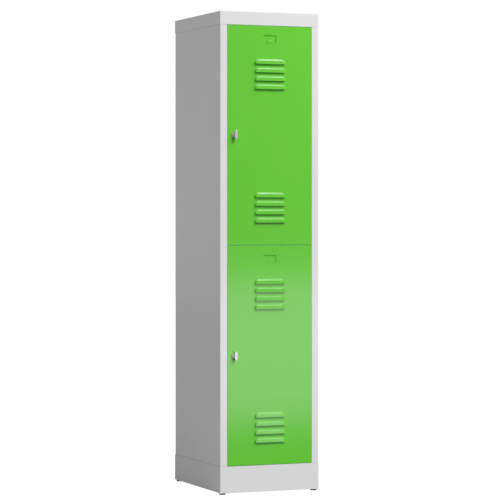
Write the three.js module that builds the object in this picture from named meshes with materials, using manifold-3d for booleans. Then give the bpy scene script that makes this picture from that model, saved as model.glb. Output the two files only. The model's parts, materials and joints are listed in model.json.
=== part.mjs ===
// Steel staff locker: one column of two lockers, flush doors hung at the right and locked at the left.
// Millimetres. X runs across the front, Y from the front to the back, Z up from the floor.

import * as THREE from "three";
import { mergeVertices } from "three/addons/utils/BufferGeometryUtils.js";
import Module from "manifold-3d";

const wasm = await Module();
wasm.setup();

// Whole cabinet, outside the cap and plinth and with the feet
const width = 400;
const depth = 490;
const height = 1800;
const capSkirt = 50;
const plinthHeight = 99;
const stileWidth = 29;

// Sheet metal
const bodySheet = 0.8;
const doorSheet = 1;
const bodyBend = 2;
const doorBend = 1.6;
const seamGap = 0.3;
const capLap = 40;
const lipClearance = 9;
const plinthLip = 35;
const stopFlange = 10;
const backFlange = 15;
const endStop = 12;
const webLap = 26;
const stileCope = 20;
const shelfLap = 10;
const floorSkirt = 20;

// Doors
const doorGap = 1;
const doorDepth = 18;
const doorLip = 12;
const doorCorner = 2;

// Pressed louvres of a door, open along their lower edge
const louvreWidth = 124;
const louvreHeight = 20.5;
const louvreReach = 8;
const louvrePitch = 31.3;
const louvreCount = 4;
const louvreInset = 123;
const louvreFootInset = 84.8;
const louvreEndRamp = 7;
const louvreTopRamp = 8.5;
const louvreCornerShare = 1.35;
const louvreTilt = 1.2;

// Card pocket pressed into a door, with the half-round tab that holds the card
const cardWidth = 52;
const cardHeight = 29;
const cardDepth = 3;
const cardDraft = 0.6;
const cardCorner = 1.5;
const cardInset = 36;
const cardTabRadius = 10.5;

// Hat-shaped stiffener behind a door's skin
const stiffenerCrown = 20;
const stiffenerBrim = 10;
const stiffenerHeight = 13;
const stiffenerGap = 14;

// Hidden pivot hinges
const hingeInset = 10;
const hingeDepth = 4.8;
const hingeNotch = 9;
const hingeNotchLength = 16;
const hingeRunGap = 1.7;
const pivotSheet = 1.5;
const pinRadius = 2;
const pinHeadRadius = 3.5;
const pinHead = 2;
const pinTail = 4;
const bushWall = 0.7;
const bushFlange = 0.8;
const bushTail = 1;
const bracketSheet = 2;
const bracketNeck = 5.5;
const bracketNeckSide = 0.5;
const bracketTab = 4;

// Turn latch of a door
const latchInset = 28;
const collarRadius = 11;
const collarDepth = 4;
const barrelRadius = 9;
const barrelFlat = 8;
const barrelLength = 19;
const nutFlats = 24;
const nutDepth = 5;
const spindleRadius = 4.7;
const gripHeight = 33;
const gripEndRadius = 3.8;
const gripMidRadius = 6.2;
const gripReach = 19;
const gripBevel = 1.2;
const plugRadius = 3.8;
const plugLength = 12;
const keySlotWidth = 1.6;
const keySlotHeight = 5.4;
const keySlotDepth = 3;
const camSheet = 2.5;
const camLength = 36;
const camHalf = 8;
const camTipHalf = 6;
const camSquare = 7;
const camRunGap = 1.5;
const camScrewRadius = 1.6;
const camScrewLength = 9;
const camScrewHeadRadius = 5;
const camScrewHead = 2.4;

// Door buffers on the latch-side stop
const bufferRadius = 4;
const bufferHeight = 2.4;
const bufferInset = 60;

// Coat rails, their sockets and their sliding hooks
const railHeight = 30;
const railThickness = 15;
const railWall = 1.2;
const railDrop = 48;
const socketBase = 3;
const socketCollar = 9;
const socketWall = 3;
const socketEar = 9;
const socketScrewRadius = 2.2;
const hookWidth = 12;
const hookWall = 2.6;
const hookRunGap = 0.4;
const hookReach = 30;
const hookDrop = 34;
const hookWireRadius = 3;
const hookTipRadius = 4.6;
const hookRiseShare = 0.3;
const hookStartShare = 0.2;

// Feet
const footRadius = 13;
const footHeight = 6;
const footInset = 15.5;
const footBevel = 1.2;
const footStemRadius = 4;
const footStemLength = 11;

// One overrun for every cut, the tolerance of a mesh's seams, and the steps of the round forms
const overrun = 5;
const weldTolerance = 1e-5;
const bendSteps = 3;
const cornerSteps = 2;
const roundSteps = 24;
const smallRoundSteps = 12;
const footSteps = 16;
const bevelSteps = 2;
const pinSteps = 10;
const wireSides = 8;
const louvreCornerSteps = 3;
const louvreRampSteps = 4;
const hookSteps = 8;

// Places that follow from the sizes above
const halfWidth = width / 2;
const skinInset = bodySheet + seamGap;
const sideFace = halfWidth - skinInset;
const sideInner = sideFace - bodySheet;
const frontFace = skinInset;
const backFace = depth - skinInset;
const backInner = backFace - bodySheet;
const flangeFace = backInner - seamGap - bodySheet;
const capSeam = height - capSkirt;
const plinthTop = footHeight + plinthHeight;
const openingHalf = halfWidth - stileWidth;
const doorHalf = openingHalf - doorGap;
const doorHeight = (capSeam - plinthTop - 3 * doorGap) / 2;
const lowerDoorBase = plinthTop + doorGap;
const upperDoorBase = lowerDoorBase + doorHeight + doorGap;
const stopFace = frontFace + doorDepth + bufferHeight + 2 * seamGap;
const hingeX = doorHalf - hingeInset;
const hingeY = frontFace + hingeDepth;
const hingeStopFace = hingeY + Math.hypot(hingeInset, doorDepth - hingeDepth) + hingeRunGap;
const sheetLow = footHeight + lipClearance;
const sheetHigh = capSeam + capLap;
const stopHalf = openingHalf - stopFlange;
const latchX = latchInset - doorHalf;
const nutCorner = nutFlats / 2 / Math.cos(Math.PI / 6);
const stiffenerX = latchX + nutCorner + stiffenerGap + stiffenerBrim + stiffenerCrown / 2;
const camFace = stopFace + bodySheet + camRunGap - frontFace;
const socketX = sideInner - seamGap;
const railHalf = socketX - socketBase - seamGap;
const shelfTop = upperDoorBase + shelfLap;

// Solids

/** Turns a closed geometry into a solid with its faces pointing out. */
function solidOf(geometry) {
  const bare = geometry.clone();
  bare.deleteAttribute("normal");
  bare.deleteAttribute("uv");
  const merged = mergeVertices(bare, weldTolerance);
  const corners = merged.attributes.position.array;
  const faces = [];
  const index = merged.index.array;
  for (let i = 0; i < index.length; i += 3) {
    const [a, b, c] = [index[i], index[i + 1], index[i + 2]];
    if (a !== b && b !== c && c !== a) faces.push([a, b, c]);
  }
  if (signedVolume(corners, faces) < 0) faces.forEach((face) => face.reverse());
  const triVerts = Uint32Array.from(faces.flat());
  return new wasm.Manifold(new wasm.Mesh({ numProp: 3, vertProperties: corners, triVerts }));
}

/** Six times the volume inside a list of faces, negative when they point in. */
function signedVolume(corners, faces) {
  const [p, q, r] = [new THREE.Vector3(), new THREE.Vector3(), new THREE.Vector3()];
  let sum = 0;
  for (const [a, b, c] of faces) {
    p.fromArray(corners, 3 * a);
    q.fromArray(corners, 3 * b);
    r.fromArray(corners, 3 * c);
    sum += p.dot(q.cross(r));
  }
  return sum;
}

/** Turns a solid back into a geometry. */
function geometryOf(solid) {
  const mesh = solid.getMesh();
  const geometry = new THREE.BufferGeometry();
  geometry.setAttribute("position", new THREE.BufferAttribute(mesh.vertProperties, 3));
  geometry.setIndex(new THREE.BufferAttribute(mesh.triVerts, 1));
  geometry.computeVertexNormals();
  return geometry;
}

/** A block between two opposite corners. */
function block(x, y, z) {
  const box = new THREE.BoxGeometry(x[1] - x[0], y[1] - y[0], z[1] - z[0]);
  box.translate((x[0] + x[1]) / 2, (y[0] + y[1]) / 2, (z[0] + z[1]) / 2);
  return solidOf(box);
}

/** Extrudes an outline in X and Y upwards, from low to high. */
function prismZ(shape, low, high, bevel = 0) {
  const options = { depth: high - low - 2 * bevel, bevelEnabled: bevel > 0, curveSegments: smallRoundSteps };
  options.bevelThickness = bevel;
  options.bevelSize = bevel;
  options.bevelOffset = -bevel;
  options.bevelSegments = bevelSteps;
  const prism = new THREE.ExtrudeGeometry(shape, options);
  prism.translate(0, 0, low + bevel);
  return solidOf(prism);
}

/** Extrudes an outline in Y and Z across the cabinet, from low to high in X. */
function prismX(shape, low, high) {
  const turn = new THREE.Matrix4().makeBasis(
    new THREE.Vector3(0, 1, 0),
    new THREE.Vector3(0, 0, 1),
    new THREE.Vector3(1, 0, 0),
  );
  return prismZ(shape, low, high).transform(turn.elements);
}

/** Extrudes an outline in X and Z through the cabinet, from low to high in Y. */
function prismY(shape, low, high, bevel = 0) {
  const turn = new THREE.Matrix4().makeRotationX(Math.PI / 2);
  return prismZ(shape, -high, -low, bevel).transform(turn.elements);
}

/** Turns a profile of [radius, place] pairs round the Y axis. */
function turned(profile, steps = roundSteps) {
  const points = profile.map(([radius, place]) => new THREE.Vector2(radius, place));
  return solidOf(new THREE.LatheGeometry(points, steps));
}

/** Joins rings of equally many points into one skin, capped at both ends or run round to its start. */
function loft(rings, closed = false) {
  const count = rings[0].length;
  const index = [];
  const last = closed ? rings.length : rings.length - 1;
  for (let j = 0; j < last; j += 1) {
    for (let i = 0; i < count; i += 1) {
      const next = (i + 1) % count;
      const above = (j + 1) % rings.length;
      const [a, b] = [j * count + i, j * count + next];
      const [c, d] = [above * count + i, above * count + next];
      index.push(a, b, d, a, d, c);
    }
  }
  if (!closed) {
    const top = (rings.length - 1) * count;
    for (let i = 1; i < count - 1; i += 1) {
      index.push(0, i + 1, i);
      index.push(top, top + i, top + i + 1);
    }
  }
  const skin = new THREE.BufferGeometry().setFromPoints(rings.flat());
  skin.setIndex(index);
  return solidOf(skin);
}

/** Points of an arc round a centre, from one angle to another. */
function arc(centre, radius, from, to, steps) {
  return Array.from({ length: steps + 1 }, (_, i) => {
    const angle = from + ((to - from) * i) / steps;
    return [centre[0] + radius * Math.cos(angle), centre[1] + radius * Math.sin(angle)];
  });
}

/** A closed outline through a list of pairs. */
function outline(points) {
  return new THREE.Shape(points.map(([x, y]) => new THREE.Vector2(x, y)));
}

/** A round outline, or a hole. */
function disc(x, y, radius, steps = smallRoundSteps) {
  return outline(arc([x, y], radius, 0, 2 * Math.PI, steps).slice(0, steps));
}

/** A slot outline round the origin: half circles at its ends, upright when it is taller than wide. */
function stadium(across, up) {
  const radius = Math.min(across, up) / 2;
  const [dx, dy] = [across / 2 - radius, up / 2 - radius];
  const start = dx > 0 ? -Math.PI / 2 : 0;
  const half = smallRoundSteps / 2;
  const first = arc([dx, dy], radius, start, start + Math.PI, half);
  const second = arc([-dx, -dy], radius, start + Math.PI, start + 2 * Math.PI, half);
  return outline([...first, ...second]);
}

/** A rectangle with rounded corners in two directions, as a ring of points put in place by a function. */
function rectangleRing(halfA, halfB, radius, place) {
  const [a, b] = [halfA - radius, halfB - radius];
  const corners = [[a, b], [-a, b], [-a, -b], [a, -b]];
  return corners.flatMap((corner, i) => {
    const start = (i * Math.PI) / 2;
    return arc(corner, radius, start, start + Math.PI / 2, cornerSteps).map(([u, v]) => place(u, v));
  });
}

/** Carries a profile of [inset, level] pairs round a rectangle, with mitred or rounded corners. */
function carriedRound(profile, halfA, halfB, corner, place, closed = false) {
  const rings = profile.map(([inset, level]) => {
    const radius = Math.max(corner - inset, 0);
    return rectangleRing(halfA - inset, halfB - inset, radius, (u, v) => place(u, v, level));
  });
  return loft(rings, closed);
}

/** Section of a folded tray, from its outer face's middle round its skirt to its inner face's middle. */
function traySection(sheet, bend, skirt, lip = 0) {
  const inner = bend - sheet;
  const down = [...arc([bend, bend], bend, -Math.PI / 2, -Math.PI, bendSteps)];
  const back = arc([bend, bend], inner, -Math.PI, -Math.PI / 2, bendSteps);
  if (lip === 0) return [...down, [0, skirt], [sheet, skirt], ...back];
  const low = [bend, skirt - bend];
  const turn = arc(low, bend, Math.PI, Math.PI / 2, bendSteps);
  const returning = arc(low, inner, Math.PI / 2, Math.PI, bendSteps);
  return [...down, ...turn, [lip, skirt], [lip, skirt - sheet], ...returning, ...back];
}

/** Outline of a folded strip. The path runs along one face, and the sheet lies to its left. */
function foldedStrip(path, sheet, bend) {
  const corners = path.map(([x, y]) => new THREE.Vector2(x, y));
  const ahead = corners.slice(1).map((point, i) => point.clone().sub(corners[i]).normalize());
  const left = ahead.map((way) => new THREE.Vector2(-way.y, way.x));
  const face = [corners[0]];
  const other = [corners[0].clone().addScaledVector(left[0], sheet)];
  for (let i = 1; i < corners.length - 1; i += 1) {
    const turnsLeft = ahead[i - 1].cross(ahead[i]) > 0;
    const side = turnsLeft ? 1 : -1;
    const [faceRadius, otherRadius] = turnsLeft ? [bend, bend - sheet] : [bend - sheet, bend];
    const centre = corners[i].clone().addScaledVector(ahead[i - 1], -faceRadius);
    centre.addScaledVector(left[i - 1], side * faceRadius);
    const from = Math.atan2(-side * left[i - 1].y, -side * left[i - 1].x);
    const bent = (radius) =>
      arc(centre.toArray(), radius, from, from + (side * Math.PI) / 2, bendSteps)
        .map((point) => new THREE.Vector2(...point));
    face.push(...bent(faceRadius));
    other.push(...bent(otherRadius));
  }
  face.push(corners.at(-1));
  other.push(corners.at(-1).clone().addScaledVector(left.at(-1), sheet));
  return new THREE.Shape([...face, ...other.reverse()]);
}

/** Lowest and highest of two places that lie at distances from an end, inwards. */
function inwards(end, way, near, far) {
  const [p, q] = [end - way * near, end - way * far];
  return [Math.min(p, q), Math.max(p, q)];
}

// Materials

function lightGreyPaint() {
  return new THREE.MeshStandardMaterial({ color: 0xe2e2e2, roughness: 0.5, metalness: 0.05 });
}

function greenPaint() {
  return new THREE.MeshStandardMaterial({ color: 0x68c73c, roughness: 0.42, metalness: 0.05 });
}

function brightZinc() {
  return new THREE.MeshStandardMaterial({ color: 0xd6d6d8, roughness: 0.22, metalness: 0.95 });
}

function platedSteel() {
  return new THREE.MeshStandardMaterial({ color: 0xb4b2aa, roughness: 0.4, metalness: 0.9 });
}

function blackPlastic() {
  return new THREE.MeshStandardMaterial({ color: 0x1c1c1e, roughness: 0.6, metalness: 0 });
}

function palePlastic() {
  return new THREE.MeshStandardMaterial({ color: 0xe6e4dc, roughness: 0.5, metalness: 0 });
}

/** A named piece of the locker. */
function piece(name, solid, material) {
  const mesh = new THREE.Mesh(geometryOf(solid), material);
  mesh.name = name;
  return mesh;
}

// Carcass

/** A side: stile, skin and back flange folded from one sheet. The stop lies behind the door's edge. */
function sidePanel(name, side, stop) {
  const path = [
    [-stopHalf, stop + bodySheet],
    [-openingHalf - bodySheet, stop + bodySheet],
    [-openingHalf - bodySheet, frontFace + bodySheet],
    [-sideInner, frontFace + bodySheet],
    [-sideInner, flangeFace],
    [backFlange - sideFace, flangeFace],
  ];
  const left = foldedStrip(path, bodySheet, bodyBend);
  const strip = side < 0 ? left : outline(left.getPoints().map((point) => [-point.x, point.y]).reverse());
  return piece(name, prismZ(strip, sheetLow, sheetHigh), lightGreyPaint());
}

/** The flat back, lapped over the sides' back flanges. */
function backPanel() {
  const half = sideFace - bodyBend;
  const sheet = [[-half, sheetLow], [half, sheetLow], [half, sheetHigh], [-half, sheetHigh]];
  return piece("back_panel", prismY(outline(sheet), backInner, backFace), lightGreyPaint());
}

/** The cap: a tray with its skirts turned down over the body. */
function topCap() {
  const section = traySection(bodySheet, bodyBend, capSkirt);
  const place = (u, v, level) => new THREE.Vector3(u, v + depth / 2, height - level);
  const tray = carriedRound(section, halfWidth, depth / 2, bodyBend, place);
  return piece("top_cap", tray, lightGreyPaint());
}

/** The plinth: four skirts with a lip turned in below, holed for the feet. */
function basePlinth() {
  const inner = bodyBend - bodySheet;
  const centre = [bodyBend, plinthHeight - bodyBend];
  const section = [
    [0, 0],
    ...arc(centre, bodyBend, Math.PI, Math.PI / 2, bendSteps),
    [plinthLip, plinthHeight],
    [plinthLip, plinthHeight - bodySheet],
    ...arc(centre, inner, Math.PI / 2, Math.PI, bendSteps),
    [bodySheet, 0],
  ];
  const place = (u, v, level) => new THREE.Vector3(u, v + depth / 2, plinthTop - level);
  let plinth = carriedRound(section, halfWidth, depth / 2, bodyBend, place, true);
  for (const [x, y] of footPlaces()) {
    const hole = disc(x, y, footStemRadius + seamGap);
    plinth = plinth.subtract(prismZ(hole, footHeight - overrun, footHeight + overrun));
  }
  return piece("base_plinth", plinth, lightGreyPaint());
}

/** Cuts the front corners of a sheet away, where the stiles, stops and hinge brackets stand. */
function clearOfStiles(solid) {
  const back = Math.max(stopFace, hingeStopFace) + bodySheet + seamGap;
  const corners = [[-halfWidth, stileCope - openingHalf], [openingHalf - stileCope, halfWidth]];
  return corners.reduce((rest, x) => rest.subtract(block(x, [-overrun, back], [0, height])), solid);
}

/** A level tray with its edges turned down, fitted between the sides. */
function levelTray(front, top, skirt) {
  const half = sideInner - seamGap;
  const back = flangeFace - seamGap;
  const place = (u, v, level) => new THREE.Vector3(u, v + (front + back) / 2, top - level);
  return carriedRound(traySection(bodySheet, bodyBend, skirt), half, (back - front) / 2, bodyBend, place);
}

/** The shelf between the lockers. Its front edge stops both doors at their split. */
function middleShelf() {
  const tray = levelTray(stopFace, shelfTop, 2 * shelfLap + doorGap);
  return piece("middle_shelf", clearOfStiles(tray), lightGreyPaint());
}

/** The floor of the lower locker. */
function floorPanel() {
  const tray = levelTray(stopFace + bodySheet + seamGap, plinthTop + endStop, floorSkirt);
  return piece("floor_panel", clearOfStiles(tray), lightGreyPaint());
}

/** A rail between the stiles at a door's end: web behind the skirt, ledge, and stop behind the door. */
function doorRail(name, seam, way) {
  const path = [
    [frontFace, seam + way * webLap],
    [frontFace, seam],
    [stopFace, seam],
    [stopFace, seam - way * endStop],
  ];
  const strip = foldedStrip(way > 0 ? path : [...path].reverse(), bodySheet, bodyBend);
  const half = openingHalf - seamGap;
  let rail = prismX(strip, -half, half);
  for (const x of [[-halfWidth, stileCope - openingHalf], [openingHalf - stileCope, halfWidth]]) {
    rail = rail.subtract(block(x, [stopFace - seamGap - bodyBend, depth], [0, height]));
  }
  return piece(name, rail, lightGreyPaint());
}

/** Where the four feet stand. */
function footPlaces() {
  const [x, front, back] = [halfWidth - footInset, footInset, depth - footInset];
  return [[-x, front], [x, front], [-x, back], [x, back]];
}

/** A moulded foot: a pad with a bevelled rim and the stem that is pressed into the lip. */
function foot(name, [x, y]) {
  const top = footHeight - seamGap;
  const profile = [
    [0, 0],
    [footRadius - footBevel, 0],
    [footRadius, footBevel],
    [footRadius, top],
    [footStemRadius, top],
    [footStemRadius, top + footStemLength - footBevel],
    [footStemRadius - footBevel, top + footStemLength],
    [0, top + footStemLength],
  ];
  const mesh = piece(name, turned(profile, footSteps), blackPlastic());
  mesh.rotation.x = Math.PI / 2;
  mesh.position.set(x, y, 0);
  return mesh;
}

/** A rubber buffer on the latch-side stop, behind a door's lip. */
function buffer(name, z) {
  const low = frontFace + doorDepth + seamGap;
  const profile = [
    [0, low],
    [bufferRadius - bufferHeight / 2, low],
    [bufferRadius, low + bufferHeight / 2],
    [bufferRadius, low + bufferHeight],
    [0, low + bufferHeight],
  ];
  const mesh = piece(name, turned(profile, smallRoundSteps), blackPlastic());
  mesh.position.set((-openingHalf - stopHalf) / 2, 0, z);
  return mesh;
}

// Coat rails

/** An oval coat rail across a locker. */
function coatRail(name, z) {
  const tube = prismX(stadium(railThickness, railHeight), -railHalf, railHalf);
  const bore = stadium(railThickness - 2 * railWall, railHeight - 2 * railWall);
  const mesh = piece(name, tube.subtract(prismX(bore, -halfWidth, halfWidth)), platedSteel());
  mesh.position.set(0, depth / 2, z);
  return mesh;
}

/** A rail's socket: a base with two screw holes and a collar round the rail's end. */
function railSocket(name, side, z) {
  const [across, up] = [railThickness + 2 * seamGap, railHeight + 2 * seamGap];
  const outer = stadium(across + 2 * socketWall, up + 2 * socketWall);
  const base = stadium(across + 2 * socketWall, up + 2 * socketWall + 2 * socketEar);
  const collarEnd = socketX - socketBase - socketCollar;
  let socket = prismX(base, socketX - socketBase, socketX).add(prismX(outer, collarEnd, socketX));
  socket = socket.subtract(prismX(stadium(across, up), collarEnd - overrun, socketX - socketBase));
  const screwPlace = up / 2 + socketWall + socketEar / 2;
  for (const place of [-screwPlace, screwPlace]) {
    socket = socket.subtract(prismX(disc(0, place, socketScrewRadius), collarEnd, socketX + overrun));
  }
  const mesh = piece(name, socket, palePlastic());
  mesh.rotation.z = side < 0 ? Math.PI : 0;
  mesh.position.set(0, depth / 2, z);
  return mesh;
}

/** A double hook that slides along the rail: a band round it and two prongs with round tips. */
function coatHook(name, z) {
  const [across, up] = [railThickness + 2 * hookRunGap, railHeight + 2 * hookRunGap];
  const half = hookWidth / 2;
  let hook = prismX(stadium(across + 2 * hookWall, up + 2 * hookWall), -half, half);
  const start = -up / 2 - hookWall / 2;
  for (const way of [-1, 1]) {
    const tip = new THREE.Vector3(0, way * hookReach, start - hookDrop * hookRiseShare);
    const path = new THREE.CubicBezierCurve3(
      new THREE.Vector3(0, 0, start),
      new THREE.Vector3(0, way * hookReach * hookStartShare, start - hookDrop),
      new THREE.Vector3(0, way * hookReach, start - hookDrop),
      tip,
    );
    const section = disc(0, 0, hookWireRadius, wireSides);
    const options = { steps: hookSteps, extrudePath: path, bevelEnabled: false };
    hook = hook.add(solidOf(new THREE.ExtrudeGeometry(section, options)));
    const ball = new THREE.SphereGeometry(hookTipRadius, hookSteps, wireSides);
    hook = hook.add(solidOf(ball.translate(tip.x, tip.y, tip.z)));
  }
  hook = hook.subtract(prismX(stadium(across, up), -half - overrun, half + overrun));
  const mesh = piece(name, hook, palePlastic());
  mesh.position.set(0, depth / 2, z);
  return mesh;
}

// Hinges: each door turns on a pin at its top and one at its foot

/** The bracket on the stile. Its neck comes from behind the door, so the door's edge swings past it. */
function hingeBracket(name, end, way) {
  const boss = pinHeadRadius;
  const footFront = hingeY + Math.hypot(hingeInset, hingeDepth) + seamGap;
  const footBack = hingeStopFace - seamGap;
  const footSide = openingHalf - seamGap;
  const neck = [hingeX - bracketNeckSide - bracketNeck, hingeX - bracketNeckSide];
  const arm = [
    [hingeX - boss * Math.cos(Math.PI / 4), hingeY - boss * Math.sin(Math.PI / 4)],
    [hingeX + boss * Math.cos(Math.PI / 4), hingeY + boss * Math.sin(Math.PI / 4)],
    [neck[1], hingeY + 2 * boss],
    [neck[1], footFront],
    [footSide, footFront],
    [footSide, footBack - bodyBend],
    [footSide - bodyBend, footBack],
    [neck[0], footBack],
    [neck[0], hingeY + boss],
  ];
  const near = hingeNotch - bushFlange - 2 * seamGap - bracketSheet;
  const plate = inwards(end, way, near, near + bracketSheet);
  const tabRise = inwards(end, way, near - bracketTab, near + bracketSheet);
  let bracket = prismZ(outline(arm), ...plate).add(prismZ(disc(hingeX, hingeY, boss, pinSteps), ...plate));
  const tab = block([footSide - bracketSheet, footSide], [footFront, footBack - bodyBend], tabRise);
  bracket = bracket.add(tab);
  bracket = bracket.subtract(prismZ(disc(hingeX, hingeY, pinRadius + seamGap, pinSteps), 0, height));
  return piece(name, bracket, platedSteel());
}

/** The pin, headed on the bracket and reaching into the door. */
function hingePin(name, end, way) {
  const headNear = hingeNotch - bushFlange - 3 * seamGap - bracketSheet - pinHead;
  const head = inwards(end, way, headNear, headNear + pinHead);
  const shank = inwards(end, way, headNear, hingeNotch + pivotSheet + pinTail);
  const pin = prismZ(disc(hingeX, hingeY, pinHeadRadius, pinSteps), ...head);
  return piece(name, pin.add(prismZ(disc(hingeX, hingeY, pinRadius, pinSteps), ...shank)), platedSteel());
}

/** The flanged bush in the door's pivot plate. */
function hingeBush(name, end, way) {
  const flange = inwards(end, way, hingeNotch - seamGap - bushFlange, hingeNotch - seamGap);
  const tube = inwards(end, way, hingeNotch - seamGap - bushFlange, hingeNotch + pivotSheet + bushTail);
  const bore = pinRadius + seamGap;
  let bush = prismZ(disc(hingeX, hingeY, pinHeadRadius, pinSteps), ...flange);
  bush = bush.add(prismZ(disc(hingeX, hingeY, bore + bushWall, pinSteps), ...tube));
  return piece(name, bush.subtract(prismZ(disc(hingeX, hingeY, bore, pinSteps), 0, height)), palePlastic());
}

// Doors, each in its own frame: X across, Y back from its front face, Z up from its lower edge

/**
 * A louvre as a solid, flat along its lower edge. Its ends and its top rise steeply at first, then ever
 * more gently, to a face that leans out towards the lip. The inner one is the outer one set in and set
 * back by the sheet.
 */
function louvreForm(setIn, back) {
  const turnAt = (_, i) => (i * Math.PI) / 2 / louvreCornerSteps;
  const turns = Array.from({ length: louvreCornerSteps + 1 }, turnAt);
  const ring = (share, levelAt) => {
    const a = louvreWidth / 2 - setIn - share * louvreEndRamp;
    const b = louvreHeight - setIn - share * louvreTopRamp;
    const radiusOf = (ramp) => Math.max((louvreCornerShare - share) * ramp - setIn, 0);
    const [across, up] = [radiusOf(louvreEndRamp), radiusOf(louvreTopRamp)];
    const right = turns.map((turn) => [a - across + across * Math.cos(turn), b - up + up * Math.sin(turn)]);
    const left = [...right].reverse().map(([x, z]) => [-x, z]);
    return [[a, 0], ...right, ...left, [-a, 0]].map(([x, z]) => new THREE.Vector3(x, levelAt(z), z));
  };
  const rings = [ring(0, () => back)];
  for (let j = 0; j <= louvreRampSteps; j += 1) {
    const share = j / louvreRampSteps;
    const lift = share * (2 - share);
    const reachAt = (z) => louvreReach - (louvreTilt * z) / louvreHeight;
    rings.push(ring(share, (z) => setIn - lift * reachAt(z)));
  }
  return loft(rings);
}

/** Lower edges of a door's louvres: one set near its top, one near its foot. */
function louvrePlaces() {
  const steps = Array.from({ length: louvreCount }, (_, i) => i * louvrePitch);
  const upperSet = steps.map((step) => doorHeight - louvreInset - louvreHeight - step);
  return [...upperSet, ...steps.map((step) => louvreFootInset + step)];
}

/** Presses the louvres into a door's skin: the outer form joined on, and the inner form cut through. */
function pressLouvres(skin) {
  const outer = louvreForm(0, doorSheet);
  const inner = louvreForm(doorSheet, doorSheet + overrun);
  return louvrePlaces().reduce((door, place) => {
    return door.add(outer.translate([0, 0, place])).subtract(inner.translate([0, 0, place]));
  }, skin);
}

/** A tapered, round-cornered pocket in a door's skin, from the skin's face to a depth. */
function cardWell(grow, from, to) {
  const slope = cardDraft / cardDepth;
  const rings = [from, to].map((level) => {
    const inset = slope * level - grow;
    const place = (u, v) => new THREE.Vector3(u, level, v + cardCentre());
    const radius = Math.max(cardCorner - inset, 0);
    return rectangleRing(cardWidth / 2 - inset, cardHeight / 2 - inset, radius, place);
  });
  return loft(rings);
}

/** Height of the card pocket's middle above a door's lower edge. */
function cardCentre() {
  return doorHeight - cardInset - cardHeight / 2;
}

/** Presses the card pocket, and leaves the half-round tab level with the skin. */
function pressCardPocket(skin) {
  const floor = cardDepth + doorSheet;
  const pocket = skin.add(cardWell(doorSheet, 0, floor)).subtract(cardWell(0, -overrun, cardDepth));
  const base = cardCentre() - cardHeight / 2 - seamGap;
  const tab = new THREE.Shape();
  tab.absarc(0, base, cardTabRadius, 0, Math.PI, false);
  return pocket.add(prismY(tab, 0, doorSheet));
}

/** Opens a door's corner for a hinge bracket and sets the pivot plate across the pan below it. */
function cutHingeCorner(pan, end, way) {
  const x = [hingeX - hingeNotchLength, doorHalf + overrun];
  const notch = block(x, [doorSheet, doorDepth + overrun], inwards(end, way, -overrun, hingeNotch));
  const level = inwards(end, way, hingeNotch, hingeNotch + pivotSheet);
  const plateSide = doorHalf - doorSheet / 2;
  const plate = block([x[0], plateSide], [doorSheet / 2, doorDepth - doorSheet / 2], level);
  const bore = disc(hingeX, hingeDepth, pinRadius + bushWall + 2 * seamGap, pinSteps);
  return pan.subtract(notch).add(plate).subtract(prismZ(bore, ...level));
}

/** Outline of the latch's barrel, round with two flats. */
function barrelOutline(grow) {
  const [radius, flat] = [barrelRadius + grow, barrelFlat + grow];
  const turn = Math.acos(flat / radius);
  const right = arc([0, 0], radius, turn, Math.PI - turn, smallRoundSteps / 2);
  const left = arc([0, 0], radius, Math.PI + turn, 2 * Math.PI - turn, smallRoundSteps / 2);
  return outline([...right, ...left]);
}

/** The door pan: skin, returns and back lip folded from one sheet, with louvres, card pocket and openings. */
function doorPan(name) {
  const section = traySection(doorSheet, doorBend, doorDepth, doorLip);
  const place = (u, v, level) => new THREE.Vector3(u, level, v + doorHeight / 2);
  let pan = carriedRound(section, doorHalf, doorHeight / 2, doorCorner, place);
  pan = cutHingeCorner(cutHingeCorner(pan, doorHeight, 1), 0, -1);
  const barrelHole = prismY(barrelOutline(seamGap), -overrun, doorSheet + overrun);
  pan = pan.subtract(barrelHole.translate([latchX, 0, doorHeight / 2]));
  return piece(name, pressLouvres(pressCardPocket(pan)), greenPaint());
}

/** The hat-shaped stiffener on the back of a door's skin. */
function doorStiffener(name) {
  const face = doorSheet + seamGap;
  const [brim, crown] = [stiffenerCrown / 2 + stiffenerBrim, stiffenerCrown / 2];
  const path = [
    [-brim, face],
    [-crown, face],
    [-crown, face + stiffenerHeight],
    [crown, face + stiffenerHeight],
    [crown, face],
    [brim, face],
  ];
  const strip = foldedStrip(path, doorSheet, doorBend);
  const hat = prismZ(strip, doorSheet + seamGap, doorHeight - doorSheet - seamGap);
  const mesh = piece(name, hat, greenPaint());
  mesh.position.x = stiffenerX;
  return mesh;
}

// Latch, each in its own frame: the axis runs back along Y from the door's front face

/** The latch's housing: a collar in front of the skin and a flatted barrel through it. */
function latchHousing(name) {
  const bore = spindleRadius + seamGap;
  const collarBack = -seamGap;
  const front = collarBack - collarDepth;
  const collar = turned([
    [bore, front],
    [collarRadius - gripBevel, front],
    [collarRadius, front + gripBevel],
    [collarRadius, collarBack],
    [bore, collarBack],
    [bore, front],
  ]);
  const barrel = prismY(barrelOutline(0), collarBack - collarDepth / 2, barrelLength);
  const hole = turned([[0, -collarDepth - overrun], [bore, -collarDepth - overrun],
    [bore, barrelLength + overrun], [0, barrelLength + overrun]]);
  return piece(name, collar.add(barrel).subtract(hole), brightZinc());
}

/** The hexagon nut that holds the housing against the skin. */
function latchNut(name) {
  const ring = arc([0, 0], nutCorner, 0, 2 * Math.PI, 6).slice(0, 6);
  const face = doorSheet + seamGap;
  const nut = prismY(outline(ring), face, face + nutDepth);
  const bore = prismY(disc(0, 0, barrelRadius + seamGap), 0, face + nutDepth + overrun);
  return piece(name, nut.subtract(bore), platedSteel());
}

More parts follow.
